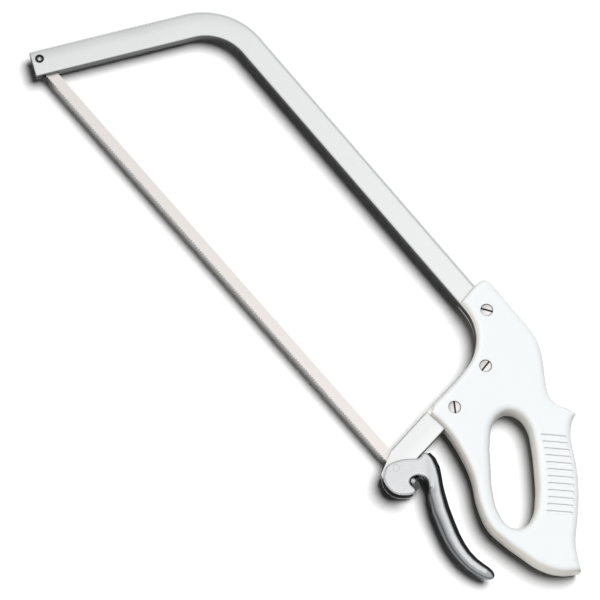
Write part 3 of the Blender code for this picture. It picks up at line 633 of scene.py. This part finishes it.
tip_pin = even_pin("tip_pin", [
    *[(PIN_HEAD * math.sin(angle), head_base + PIN_HEAD_RISE * math.cos(angle)) for angle in dome_angles],
    (FRONT_PIN_RADIUS, head_base)], front_pin)
hook_pin = even_pin("hook_pin", [
    (REAR_PIN_RADIUS * math.sin(angle), pin_end - PIN_CROWN * (1.0 - math.cos(angle)))
    for angle in dome_angles], rear_pin)
pins = [(tip_pin, "front_blade_pin", "frame"), (hook_pin, "rear_blade_pin", "blade")]
studs = []
for side in ("front", "back"):
    low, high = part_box(f"pivot_stud_{side}")
    radius = (high.x - low.x) / 2
    top, bottom = (high.z - pivot.z, low.z - pivot.z)
    profile = [(0.0, top), (radius - STUD_CHAMFER, top), (radius, top - STUD_CHAMFER),
               (radius, bottom + STUD_CHAMFER), (radius - STUD_CHAMFER, bottom), (0.0, bottom)]
    stud = add_object(f"{side}_stud", turned(f"{side}_stud", profile), pivot)
    studs.append(stud)
    pins.append((stud, f"pivot_stud_{side}", "frame"))
for pin, node, body in pins:
    settle(pin)
    if pin not in studs:
        pin.data.materials.append(turned_steel)
    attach(pin, body)
    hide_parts(node)

# The tension lever is cast in aluminium. Its forked head straddles the end of the frame and hooks the rear
# pin, and its polished, swept arm is pulled shut over centre. Painted shade darkens its walls and the inside
# of the fork, and the arm's sides carry painted shade and a painted dark reflection.
CHEEK_THICKNESS = 4.0 * MM
LEVER_EDGE_RADIUS = 1.2 * MM
LIP_DROP = 1.2 * MM
FORK_FACING = 0.5
LEVER_BORE = 3.04 * MM
CASTING_GRID = 0.5 * MM
CASTING_POLISH = 0.5
CASTING_PASSES = 12
ROOT_DEPTH = 20.4 * MM
TIP_DEPTH = 9.0 * MM
BLADE_END = 7.5 * MM
CAST_ALUMINIUM = (0.76, 0.775, 0.78)
POLISH_HEADING = math.radians(49.5)
POLISH_START = 23.0 * MM
POLISH_FULL = 29.0 * MM
POLISHED_ROUGHNESS = 0.15
# The arm's tones: lit top, painted shade on its steep sides and palm side, and a painted dark reflection on
# its finger side.
ARM_TONE = (0.62, 0.635, 0.645, 1.0)
DARK_REFLECTION = (0.03, 0.032, 0.034, 1.0)
DARK_REFLECTION_HEADING = math.radians(76.0)
DARK_REFLECTION_RISE = (0.2, 0.42)
ARM_SIDE_SHADE = (0.24, 0.25, 0.26, 1.0)
ARM_SIDE_SHADE_RISE = (0.72, 0.94)
PALM_SHADE = (0.15, 0.155, 0.16, 1.0)
PALM_SHADE_RISE = (0.55, 0.9)
half_fork = half_bar + CLEAR
half_head = half_fork + CHEEK_THICKNESS
seat = rear_pin - pivot
seat_wall = seat.x - REAR_PIN_RADIUS - CLEAR
lip = seat.y - REAR_PIN_RADIUS - CLEAR - LIP_DROP
stop_line = left_of(lower_heading) * (SPINE_WIDTH / 2 - PIVOT_OFFSET + CLEAR)


def beside_bar(height, outside=0.0):
    """A point at a height above the pivot, beside the rear edge of the lower arm."""
    point = crossing(stop_line + left_of(lower_heading) * outside, lower_heading, Vector((0.0, height, 0.0)),
                     heading_at(0.0))
    return point.x, point.y


head_back = [beside_bar(20.5 * MM), *[(x * MM, y * MM) for x, y in (
    (2.6, 16.6), (-1.3, 11.2), (-5.2, 3.4), (-6.8, -3.6), (-4.7, -9.8), (0.9, -14.9), (9.2, -16.7),
    (17.2, -14.6), (23.4, -8.6))]]
hook = [(seat.x + x * MM, lip + y * MM) for x, y in ((8.7, -2.6), (8.4, -0.6), (5.0, 0.2), (0.8, 0.0))]
mouth = [(seat_wall + 0.3 * MM, seat.y - 1.6 * MM), (seat_wall, seat.y + 1.6 * MM)]
mouth += [(seat.x + x * MM, seat.y + y * MM) for x, y in (
    (-2.0, 4.6), (0.4, 8.0), (5.0, 10.2), (9.4, 9.2), (13.0, 7.2))]
arm_root = [(seat.x + x * MM, seat.y + y * MM) for x, y in (
    (14.8, 7.6), (15.2, 10.0), (12.4, 13.2), (7.4, 17.2), (1.0, 20.9), (-5.4, 23.9))]
shoulder = beside_bar(28.6 * MM, 1.6 * MM)
head_knots = [(x, y, False) for x, y in (*head_back, *hook, *mouth, *arm_root, shoulder)]

# The arm's centre line from the seat: along, across and width in millimetres.
ARM_STATIONS = [
    (-10.2, 23.6, 10.5), (-4.6, 23.0, 13.6), (2.8, 20.6, 14.4), (10.0, 17.0, 13.0), (15.2, 13.6, 13.2),
    (21.6, 9.4, 14.6), (34.5, 3.0, 15.6), (46.0, -1.2, 15.4), (58.0, -5.2, 15.2), (68.5, -7.4, 14.4),
    (78.0, -8.2, 13.6), (87.0, -7.6, 13.0), (95.0, -5.7, 12.4), (101.0, -3.5, 11.2), (104.7, -2.2, 9.2),
    (107.2, -1.4, 6.2), (108.4, -1.0, 2.6)]
ROOT_STATIONS = 5
TIP_STATIONS = 3
ARM_STEPS = 12
PALM_FALL = 0.8
PALM_START = 3
PALM_FULL = 7
ROUNDED_SHARE = 0.95


def arm_section(half_width, half_depth, fall):
    """The arm's section as (across, up) points: round on the finger side, and falling away on the other."""
    edge = half_depth * (1.0 - fall)
    finger_side = [math.radians(90.0 * step / ARM_STEPS) for step in range(ARM_STEPS)]
    rounding = min(half_width, half_depth * ROUNDED_SHARE)
    upper = [(half_width * math.cos(angle), half_depth - rounding * (1.0 - math.sin(angle)))
             for angle in finger_side]
    palm_side = [math.sin(math.radians(90.0 * step / ARM_STEPS)) for step in range(ARM_STEPS + 1)]
    upper += [(-half_width * share, half_depth - (half_depth - edge) * (1.0 - math.sqrt(1.0 - share ** 2)))
              for share in palm_side]
    wall = [(-half_width, edge * share) for share in (0.5, 0.0, -0.5)]
    return upper + wall + [(across, -up) for across, up in reversed(upper)]


def arm_rings():
    """The arm's sections set square to its centre line, thinning towards a rounded tip."""
    centres = [seat + Vector((along * MM, across * MM, 0.0)) for along, across, _ in ARM_STATIONS]
    last = len(centres) - 1
    straight = last - TIP_STATIONS
    rings = []
    for index, centre in enumerate(centres):
        heading = (centres[min(index + 1, last)] - centres[max(index - 1, 0)]).normalized()
        share = min(max((index - ROOT_STATIONS) / (straight - ROOT_STATIONS), 0.0), 1.0)
        depth = ROOT_DEPTH + (TIP_DEPTH - ROOT_DEPTH) * share
        if index > straight:
            depth *= ARM_STATIONS[index][2] / ARM_STATIONS[straight][2]
        fall = PALM_FALL * min(max((index - PALM_START) / (PALM_FULL - PALM_START), 0.0), 1.0)
        rings.append([centre + left_of(heading) * across + Vector((0.0, 0.0, up))
                      for across, up in arm_section(ARM_STATIONS[index][2] * MM / 2, depth / 2, fall)])
    return rings


head_loop = sample_loop(head_knots, resolution=8)
lever_head = filled("pull_lever", [head_loop], half_head, LEVER_EDGE_RADIUS, edge_steps=3)
pull_lever = add_object("pull_lever", lever_head, pivot)
finger_arm = add_object("finger_arm", skin("finger_arm", arm_rings()), pivot)
combine(pull_lever, "UNION", finger_arm)
tail_swing = math.hypot(BLADE_END, BLADE_WIDTH / 4) + CLEAR
fork_end = seat.x + tail_swing + CLEAR
fork_corners = [
    (-FAR, -FAR), (fork_end, -FAR), (fork_end, seat.y + tail_swing),
    (seat.x - BLADE_WIDTH / 4, seat.y + tail_swing), beside_bar(boss_radius, boss_radius / 3),
    beside_bar(boss_radius), beside_bar(FAR), (-FAR, FAR),
]
fork = add_object("fork", filled("fork", [[Vector((x, y, 0.0)) for x, y in fork_corners]], half_fork), pivot)
combine(pull_lever, "DIFFERENCE", fork)
casting = pull_lever.modifiers.new("casting", "REMESH")
casting.mode = "VOXEL"
casting.voxel_size = CASTING_GRID
polish = pull_lever.modifiers.new("polish", "SMOOTH")
polish.factor = CASTING_POLISH
polish.iterations = CASTING_PASSES
lever_bore = add_object("lever_bore", turned("lever_bore", [
    (0.0, FAR), (LEVER_BORE, FAR), (LEVER_BORE, -FAR), (0.0, -FAR)]), pivot)
combine(pull_lever, "DIFFERENCE", lever_bore)
settle(pull_lever, [finger_arm, fork, lever_bore], sharp=60.0)
# The cast finish darkens its steep walls with painted shade.
cast_aluminium = finish(
    "cast_aluminium", CAST_ALUMINIUM, 1.0,
    {"Stretch": (1.0, 1.0, 1.0), "Grain": 900.0, "Patch": 160.0, "Tone Spread": 0.2, "Roughness": 0.26,
     "Roughness Spread": 0.2, "Painted Wall Shade": 0.6}, bump=0.25)
side_facing = heading_group("side_facing", "Normal")
flat_facing = heading_group("flat_facing", "Normal", both_ways=True)
arm_way = (reach_along, heading_at(POLISH_HEADING), POLISH_START, POLISH_FULL)
upward = (0.0, 0.0, 1.0)
finger_way = heading_at(DARK_REFLECTION_HEADING)
# Painted shade on the arm by the way its faces turn, and a painted dark reflection along its finger side.
arm_shading = ARM_SIDE_SHADE
for tone, group, heading, rise in (
        (ARM_TONE, flat_facing, upward, ARM_SIDE_SHADE_RISE),
        (PALM_SHADE, side_facing, -finger_way, PALM_SHADE_RISE),
        (DARK_REFLECTION, side_facing, finger_way, DARK_REFLECTION_RISE)):
    arm_shading = blended(cast_aluminium, arm_shading, tone, group, heading, *rise)
lead_over(cast_aluminium, "Roughness", POLISHED_ROUGHNESS, *arm_way)
lead_over(cast_aluminium, "Base Color", arm_shading, *arm_way)
for piece in (pull_lever, *studs):
    piece.data.materials.append(cast_aluminium)
# Painted shade, in black, on the inner faces of the fork.
pull_lever.data.materials.append(painted_shade)
for side in pull_lever.data.polygons:
    side.material_index = int(side.normal.z * math.copysign(1.0, side.center.z) < -FORK_FACING)
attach(pull_lever, "lever")
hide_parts("tension_lever")

# The handle is two white nylon mouldings that clamp the bar. They meet along a fine parting line round the
# grip, and the bar shows between them in the throat. Both have a rounded finger hole and a row of grooves.
HANDLE_EDGE_RADIUS = 6.0 * MM
HOLE_EDGE_RADIUS = 7.5 * MM
MITRE_SHARE = 0.985
RIM_WELD = 0.02 * MM
THROAT_STRIDE = 8
UPPER_SNOUT = 53.0 * MM
SNOUT_SLANT = 3.6 * MM
SNOUT_RISE = 15.5 * MM
LOWER_SNOUT = 97.0 * MM
HANDLE_REACH = 400.0 * MM
BAR_PROUD = 0.3 * MM
RIB_COUNT = 12
RIB_PITCH = 6.2 * MM
RIB_LENGTH = 23.0 * MM
RIB_WIDTH = 3.0 * MM
RIB_DEPTH = 1.4 * MM
RIB_ARC_RADIUS = 176.0 * MM
RIB_MIDDLE = (118.6 * MM, -46.6 * MM)
RIB_SLANT = math.radians(45.0)
RIB_ROW_SLANT = math.radians(-37.6)
SCREW_HEAD_RADIUS = 5.5 * MM
SLEEVE_RADIUS = 3.5 * MM
HEAD_CROWN = 0.4 * MM
HEAD_HEIGHT = 3.0 * MM
WHITE_NYLON = (0.90, 0.935, 0.95)
SHADED_NYLON = (0.71, 0.70, 0.67, 1.0)
NYLON_SHADE_RISE = (0.97, 0.45)
half_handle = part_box("handle_front")[1].z - middle.z
throat = SPINE_WIDTH / 2 - BAR_PROUD
throat_points = [middle - spine_heading * UPPER_SNOUT - left_of(spine_heading) * throat]
throat_points += [point - left_of(heading) * throat for point, heading in heel_bend[::THROAT_STRIDE]]
throat_points += [middle + lower_heading * LOWER_SNOUT - left_of(lower_heading) * throat]
throat_ends = (throat_points[0], throat_points[-1])
handle_knots = [(point.x, point.y, point in throat_ends) for point in throat_points]
handle_knots += [(x * MM, y * MM, corner) for x, y, corner in (
    (26, -95.5, False), (49, -99, False), (70, -105.5, False), (92, -117.5, False), (113, -124, False),
    (131, -122.4, False), (150, -118.2, False), (169, -112.6, False), (184, -102.6, False), (194, -89, True),
    (183.6, -83.6, False), (172.6, -76.4, False), (155.6, -58.4, False), (139.2, -42.6, False),
    (121.6, -29.4, False), (105.6, -20.2, False), (96, -13, False), (90.8, -6.7, False), (87.4, 1.4, True),
    (79, -1.2, False), (72, -5, False), (64.5, -6.4, False), (57, -4.8, False), (47, 1.2, False),
    (33, 10.9, False), (20, 17.8, False), (8, 20.7, False), (-9, 21.5, False), (-30, 22.2, False),
    (-47, 22.5, False))]
snout_top = middle - spine_heading * (UPPER_SNOUT + SNOUT_SLANT) + left_of(spine_heading) * SNOUT_RISE
handle_knots += [(snout_top.x + x * MM, snout_top.y + y * MM, False) for x, y in (
    (6.4, 6.0), (2.2, 4.2), (0.3, 0.0))]
hole_knots = [(x * MM, y * MM, False) for x, y in (
    (58, -37.5), (70, -38.8), (80, -44), (101.5, -59), (120, -74.5), (130.8, -88.8), (132.3, -101.2),
    (124.6, -110), (109.6, -109.6), (91, -100.4), (76, -88.8), (57, -72.8), (47, -60), (45.5, -49),
    (49.5, -41.5))]


def inset(loop, distance):
    """A closed loop moved into the material on its left. Points that cross a corner gather at its mitre."""
    ends = list(zip(loop, loop[1:] + loop[:1]))
    moved = []
    for before, point, after in zip(loop[-1:] + loop[:-1], loop, loop[1:] + loop[:1]):
        spot = point + left_of((after - before).normalized()) * distance
        nearest = min((spot - segment_point(spot, start, end)).length for start, end in ends)
        moved.append(spot if nearest >= distance * MITRE_SHARE else None)
    kept = [index for index, spot in enumerate(moved) if spot]
    for index in range(len(moved)):
        if moved[index] is None:
            ahead = min(kept, key=lambda other: (other - index) % len(loop))
            behind = min(kept, key=lambda other: (index - other) % len(loop))
            moved[index] = (moved[ahead] + moved[behind]) / 2
    return moved


def segment_point(spot, start, end):
    """The point of a straight stretch that lies nearest to a spot."""
    along = end - start
    share = (spot - start).dot(along) / along.length_squared
    return start + along * min(max(share, 0.0), 1.0)


def rounded_plate(name, loops, half_thickness, edge_radii, steps=6):
    """A plate with rounded rims, a radius for each loop. The outline runs left, its holes right."""
    quarter = [math.radians(90.0 * step / steps) for step in range(steps + 1)]
    bm = bmesh.new()
    for loop, edge_radius in zip(loops, edge_radii):
        rim = [(edge_radius * (1.0 - math.cos(angle)), half_thickness - edge_radius * (1.0 - math.sin(angle)))
               for angle in quarter]
        levels = [(depth, -height) for depth, height in reversed(rim)] + rim
        rows = [[bm.verts.new(point + Vector((0.0, 0.0, height))) for point in inset(loop, depth)]
                for depth, height in levels]
        for row, following in zip(rows, rows[1:]):
            for index, vert in enumerate(row):
                beside = (index + 1) % len(row)
                bm.faces.new((vert, row[beside], following[beside], following[index]))
    bmesh.ops.remove_doubles(bm, verts=bm.verts, dist=RIM_WELD)
    for facing in (1, -1):
        edges = [edge for edge in bm.edges if edge.is_boundary and edge.verts[0].co.z * facing > 0]
        bmesh.ops.triangle_fill(bm, edges=edges, use_beauty=True, use_dissolve=False,
                                normal=(0.0, 0.0, facing))
    return new_mesh(bm, name)


def groove_cutters(facing):
    """Round-ended rods that press the row of finger grooves into one face."""
    bm = bmesh.new()
    centre = Vector((*RIB_MIDDLE, 0.0)) - left_of(heading_at(RIB_ROW_SLANT)) * RIB_ARC_RADIUS
    radius = (RIB_WIDTH ** 2 / 4 + RIB_DEPTH ** 2) / (2 * RIB_DEPTH)
    height = facing * (half_handle - RIB_DEPTH + radius)
    stretch = RIB_LENGTH / 2 - RIB_WIDTH / 2
    for rib in range(RIB_COUNT):
        turn = (rib - (RIB_COUNT - 1) / 2) * RIB_PITCH / RIB_ARC_RADIUS
        spot = centre + Matrix.Rotation(-turn, 3, "Z") @ (Vector((*RIB_MIDDLE, 0.0)) - centre)
        made = bmesh.ops.create_uvsphere(bm, u_segments=24, v_segments=16, radius=radius)["verts"]
        for vert in made:
            vert.co.z, vert.co.x = vert.co.x, vert.co.z
            if abs(vert.co.x) > WELD:
                vert.co.x += math.copysign(stretch, vert.co.x)
        bmesh.ops.transform(bm, verts=made, matrix=Matrix.Translation(spot + Vector((0.0, 0.0, height)))
                            @ Matrix.Rotation(RIB_SLANT, 4, "Z"))
    return new_mesh(bm, "grooves")


nylon = finish("white_nylon", WHITE_NYLON, 0.0,
               {"Stretch": (1.0, 1.0, 1.0), "Grain": 1800.0, "Patch": 30.0, "Tone Spread": 0.02,
                "Roughness": 0.4, "Roughness Spread": 0.12}, bump=0.05)
# Painted shade: the nylon turns a darker beige wherever its faces stand steeply, on rims, walls and grooves.
lead_over(nylon, "Base Color", SHADED_NYLON, flat_facing, upward, *NYLON_SHADE_RISE)
handle_loops = [sample_loop(handle_knots, resolution=6), sample_loop(hole_knots, resolution=8)]
edge_radii = (HANDLE_EDGE_RADIUS, HOLE_EDGE_RADIUS)
pocket_start = bar_ring(middle - spine_heading * 2 * UPPER_SNOUT, spine_heading, SPINE_WIDTH, grow=CLEAR)
pocket = add_object("pocket", skin("pocket", [pocket_start, *heel_rings(CLEAR)]))
screw_spots = {which: centre_of(f"{which}_handle_screw") for which in ("upper", "middle", "lower")}
seat_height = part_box("upper_handle_screw")[1].z - middle.z - HEAD_CROWN - HEAD_HEIGHT
for side, facing in (("front", 1.0), ("back", -1.0)):
    plate = rounded_plate(f"{side}_scale", handle_loops, half_handle, edge_radii)
    scale = add_object(f"{side}_scale", plate, middle)
    levels = sorted((facing * CLEAR / 2, -facing * FAR))
    other_half = add_object("other_half", block("other_half", (-HANDLE_REACH, -HANDLE_REACH, levels[0]),
                                                (HANDLE_REACH, HANDLE_REACH, levels[1])), middle)
    grooves = add_object("grooves", groove_cutters(facing), middle)
    tools = [other_half, grooves]
    combine(scale, "DIFFERENCE", other_half)
    combine(scale, "DIFFERENCE", pocket)
    for which, spot in screw_spots.items():
        wall = SCREW_HEAD_RADIUS + CLEAR / 2
        inner = SLEEVE_RADIUS + CLEAR / 2
        profile = [(0.0, FAR), (wall, FAR), (wall, seat_height - CLEAR), (inner, seat_height - CLEAR),
                   (inner, -CLEAR), (0.0, -CLEAR)]
        if facing < 0:
            profile = [(radius, -height) for radius, height in reversed(profile)]
        axis = Vector((spot.x, spot.y, middle.z))
        bore = add_object(f"{which}_bore", turned(f"{which}_bore", profile), axis)
        combine(scale, "DIFFERENCE", bore)
        tools.append(bore)
    combine(scale, "DIFFERENCE", grooves)
    settle(scale, tools, sharp=40.0)
    scale.data.materials.append(nylon)
    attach(scale, "frame")
    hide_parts(f"handle_{side}")
bpy.data.objects.remove(pocket, do_unlink=True)

# Three nickel-plated screws with slotted cheese heads hold the scales, each drawn into a sleeve nut from the
# back. The heads sit just under the face, with a fine dark ring round each and black painted shade in the
# slots.
HEAD_EDGE = 0.6 * MM
HEAD_EDGE_CUT = 0.3 * HEAD_EDGE
CROWN_SHARES = (0.0, 0.3, 0.6, 0.8)
SLOT_WIDTH = 1.6 * MM
SLOT_DEPTH = 1.5 * MM
SHANK_RADIUS = 2.0 * MM
SLOT_TURNS = {"upper": 34.5, "middle": 100.5, "lower": -34.5}
NICKEL = (0.86, 0.845, 0.835)
nickel_plate = finish("nickel_plate", NICKEL, 1.0,
                      {"Stretch": (1.0, 1.0, 1.0), "Grain": 2500.0, "Patch": 250.0, "Tone Spread": 0.12,
                       "Roughness": 0.3, "Roughness Spread": 0.12}, bump=0.05)
for which, spot in screw_spots.items():
    low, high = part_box(f"{which}_handle_screw")
    top, end = high.z - middle.z, low.z - middle.z
    face = top - HEAD_CROWN
    crown = [(SCREW_HEAD_RADIUS * share, face + HEAD_CROWN * (1.0 - share ** 2)) for share in CROWN_SHARES]
    head = [*crown, (SCREW_HEAD_RADIUS - HEAD_EDGE, face),
            (SCREW_HEAD_RADIUS - HEAD_EDGE_CUT, face - HEAD_EDGE_CUT),
            (SCREW_HEAD_RADIUS, face - HEAD_EDGE), (SCREW_HEAD_RADIUS, seat_height)]
    axis = Vector((spot.x, spot.y, middle.z))
    screw_profile = [*head, (SHANK_RADIUS, seat_height), (SHANK_RADIUS, end), (0.0, end)]
    screw = add_object(f"{which}_screw", turned(f"{which}_screw", screw_profile), axis)
    groove = add_object("groove", block("groove", (-FAR, -SLOT_WIDTH / 2, face - SLOT_DEPTH),
                                        (FAR, SLOT_WIDTH / 2, FAR)), axis)
    groove.rotation_euler.z = math.radians(SLOT_TURNS[which])
    combine(screw, "DIFFERENCE", groove)
    settle(screw, [groove])
    across = left_of(heading_at(math.radians(SLOT_TURNS[which])))
    # Painted shade, in black, on the faces of each slot.
    for side in screw.data.polygons:
        in_slot = abs(side.center.dot(across)) < SLOT_WIDTH / 2 + CLEAR / 10
        side.material_index = int(in_slot and face - SLOT_DEPTH - CLEAR < side.center.z < face + HEAD_CROWN)
    low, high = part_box(f"{which}_sleeve_nut")
    bore_radius, sleeve_end = SHANK_RADIUS + CLEAR / 2, high.z - middle.z
    barrel = [(0.0, end - CLEAR), (bore_radius, end - CLEAR), (bore_radius, sleeve_end),
              (SLEEVE_RADIUS, sleeve_end), (SLEEVE_RADIUS, -seat_height),
              *[(radius, -height) for radius, height in reversed(head)]]
    nut = add_object(f"{which}_nut", turned(f"{which}_nut", barrel), axis)
    settle(nut)
    for piece, node in ((screw, f"{which}_handle_screw"), (nut, f"{which}_sleeve_nut")):
        piece.data.materials.append(nickel_plate)
        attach(piece, "frame")
        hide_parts(node)
    screw.data.materials.append(painted_shade)

# The studio: white paper with a lamp of its own that casts the shadows, a soft key high on the upper right
# and a low fill from the lower left for the pieces, and a dim room with one broad panel overhead, which the
# metal mirrors. The camera looks down from a long way off.
VIEW_TILT = math.radians(16.0)
VIEW_TURN = math.radians(18.0)
SAW_SLANT = math.radians(49.494)
VIEW_DISTANCE = 3.5037
VIEW_CENTRE = Vector((-146.34 * MM, -114.64 * MM, middle.z))
LENS = 240.0
SENSOR = 36.0
CLIP_END = 50.0
FLOOR_SIZE = 12.0
FLOOR_GAP = 0.1 * MM
KEY_POWER = 2.75
KEY_SPREAD = math.radians(30.0)
KEY_HEIGHT = math.radians(64.0)
KEY_SIDE = math.radians(60.0)
PAPER_POWER = 12.4
PAPER_SPREAD = math.radians(38.0)
PAPER_HEIGHT = math.radians(65.0)
PAPER_SIDE = math.radians(42.0)
FILL_POWER = 2.15
FILL_SPREAD = math.radians(50.0)
FILL_HEIGHT = math.radians(12.0)
FILL_SIDE = math.radians(210.0)
FILL_TINT = (1.0, 0.97, 0.91)
ROOM_LIGHT = 0.08
PANEL_GLOW = 0.94
PANEL_HEIGHT = math.radians(72.0)
PANEL_SIDE = math.radians(110.0)
PANEL_RIM = (0.77, 0.85)
PANEL_FALL_SIDE = math.radians(-45.0)
PANEL_FALL = ((-0.6, 0.2), (0.0, 1.25))
ROOM_GLOW = ((0.0, 0.35), (0.5, 0.62))
PAPER_BOUNCE = 0.26
PAPER_SEEN = 0.31


def in_view(east, north, up):
    """A direction of the flat lay, right, up and towards the viewer, in the saw's own axes."""
    return Matrix.Rotation(SAW_SLANT, 3, "Z") @ Vector((east, north, up))


back = Vector((-math.sin(VIEW_TILT) * math.sin(VIEW_TURN), -math.sin(VIEW_TILT) * math.cos(VIEW_TURN),
               math.cos(VIEW_TILT)))
level = Vector((math.cos(VIEW_TURN), -math.sin(VIEW_TURN), 0.0))
rise = back.cross(level)
right = level * math.cos(VIEW_TURN) + rise * math.sin(VIEW_TURN)
top = rise * math.cos(VIEW_TURN) - level * math.sin(VIEW_TURN)
turn = Matrix([in_view(*axis) for axis in (right, top, back)]).transposed()
lens = bpy.data.cameras.new("photo_view")
lens.lens = LENS
lens.sensor_width = SENSOR
lens.clip_end = CLIP_END
viewer = bpy.data.objects.new("photo_view", lens)
viewer.matrix_world = Matrix.Translation(VIEW_CENTRE + in_view(*back) * VIEW_DISTANCE) @ turn.to_4x4()
bpy.context.scene.collection.objects.link(viewer)
bpy.context.scene.camera = viewer


def in_room(height, side):
    """The direction at a height above the floor and a side of the photograph."""
    return in_view(math.cos(height) * math.cos(side), math.cos(height) * math.sin(side), math.sin(height))


def seen_straight(ray, nodes, links):
    """1 for what a polished surface mirrors to the camera, and 0 for light that matt surfaces gather."""
    mirrored = nodes.new("ShaderNodeMath")
    mirrored.operation = "SUBTRACT"
    mirrored.use_clamp = True
    links.new(ray.outputs["Is Glossy Ray"], mirrored.inputs[0])
    links.new(ray.outputs["Diffuse Depth"], mirrored.inputs[1])
    return mirrored.outputs[0]


white_paper = bpy.data.materials.new("white_paper")
white_paper.use_nodes = True
nodes, links = white_paper.node_tree.nodes, white_paper.node_tree.links
nodes.remove(nodes["Principled BSDF"])
matt = nodes.new("ShaderNodeBsdfDiffuse")
ray = nodes.new("ShaderNodeLightPath")
shown = seen_straight(ray, nodes, links)
for kind in ("Is Camera Ray", "Is Transmission Ray"):
    either = nodes.new("ShaderNodeMath")
    either.operation = "MAXIMUM"
    links.new(shown, either.inputs[0])
    links.new(ray.outputs[kind], either.inputs[1])
    shown = either.outputs[0]
tone = nodes.new("ShaderNodeMix")
tone.data_type = "RGBA"
tone.inputs["A"].default_value = (PAPER_BOUNCE, PAPER_BOUNCE, PAPER_BOUNCE, 1.0)
tone.inputs["B"].default_value = (PAPER_SEEN, PAPER_SEEN, PAPER_SEEN, 1.0)
links.new(shown, tone.inputs["Factor"])
links.new(tone.outputs["Result"], matt.inputs["Color"])
links.new(matt.outputs[0], nodes["Material Output"].inputs["Surface"])
pieces = [piece for piece in bpy.context.scene.collection.all_objects if piece.type == "MESH"]
bm = bmesh.new()
bmesh.ops.create_grid(bm, x_segments=1, y_segments=1, size=FLOOR_SIZE)
floor = add_object("floor", new_mesh(bm, "floor"), (0.0, 0.0, cad_low.z - FLOOR_GAP))
floor.data.materials.append(white_paper)
floor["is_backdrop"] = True


def sun_lamp(name, power, spread, towards, lit):
    """A soft lamp far away, for the objects that it lights. Only the room shows in the metal."""
    sun = bpy.data.lights.new(name, "SUN")
    sun.energy = power
    sun.angle = spread
    lamp = bpy.data.objects.new(name, sun)
    lamp.rotation_euler = towards.to_track_quat("Z", "Y").to_euler()
    lamp.visible_glossy = False
    receivers = bpy.data.collections.new(f"{name}_lit")
    for piece in lit:
        receivers.objects.link(piece)
    lamp.light_linking.receiver_collection = receivers
    bpy.context.scene.collection.objects.link(lamp)
    return lamp


sun_lamp("key", KEY_POWER, KEY_SPREAD, in_room(KEY_HEIGHT, KEY_SIDE), pieces)
sun_lamp("paper_key", PAPER_POWER, PAPER_SPREAD, in_room(PAPER_HEIGHT, PAPER_SIDE), [floor])
fill = sun_lamp("fill", FILL_POWER, FILL_SPREAD, in_room(FILL_HEIGHT, FILL_SIDE), pieces)
fill.data.color = FILL_TINT

room = bpy.data.worlds.new("dark_room")
bpy.context.scene.world = room
room.use_nodes = True
nodes, links = room.node_tree.nodes, room.node_tree.links
around = nodes.new("ShaderNodeTexCoord")


def glow_towards(direction, near, far, smooth):
    """A ramp of glow over the cosine of the angle from one direction, between two (cosine, glow) ends."""
    facing = nodes.new("ShaderNodeVectorMath")
    facing.operation = "DOT_PRODUCT"
    facing.inputs[1].default_value = direction
    links.new(around.outputs["Generated"], facing.inputs[0])
    fade = nodes.new("ShaderNodeMapRange")
    fade.interpolation_type = "SMOOTHSTEP" if smooth else "LINEAR"
    for socket, value in zip(("From Min", "To Min", "From Max", "To Max"), (*near, *far)):
        fade.inputs[socket].default_value = value
    links.new(facing.outputs["Value"], fade.inputs["Value"])
    return fade.outputs["Result"]


panel_way = in_room(PANEL_HEIGHT, PANEL_SIDE)
panel = glow_towards(panel_way, (PANEL_RIM[0], 0.0), (PANEL_RIM[1], PANEL_GLOW), smooth=True)
falling = glow_towards(in_room(0.0, PANEL_FALL_SIDE), *PANEL_FALL, smooth=False)
lit_panel = nodes.new("ShaderNodeMath")
lit_panel.operation = "MULTIPLY"
links.new(panel, lit_panel.inputs[0])
links.new(falling, lit_panel.inputs[1])
mirrored = nodes.new("ShaderNodeMath")
mirrored.operation = "MAXIMUM"
links.new(lit_panel.outputs[0], mirrored.inputs[0])
links.new(glow_towards(upward, *ROOM_GLOW, smooth=True), mirrored.inputs[1])
ray = nodes.new("ShaderNodeLightPath")
light = nodes.new("ShaderNodeMix")
light.inputs["A"].default_value = ROOM_LIGHT
links.new(seen_straight(ray, nodes, links), light.inputs["Factor"])
links.new(mirrored.outputs[0], light.inputs["B"])
backdrop = nodes.new("ShaderNodeMix")
backdrop.inputs["B"].default_value = 1.0
links.new(ray.outputs["Is Camera Ray"], backdrop.inputs["Factor"])
links.new(light.outputs["Result"], backdrop.inputs["A"])
links.new(backdrop.outputs["Result"], nodes["Background"].inputs["Strength"])
nodes["Background"].inputs["Color"].default_value = (1.0, 1.0, 1.0, 1.0)
room.cycles.sampling_method = "NONE"
bpy.context.scene.view_settings.view_transform = "Standard"

low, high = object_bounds()
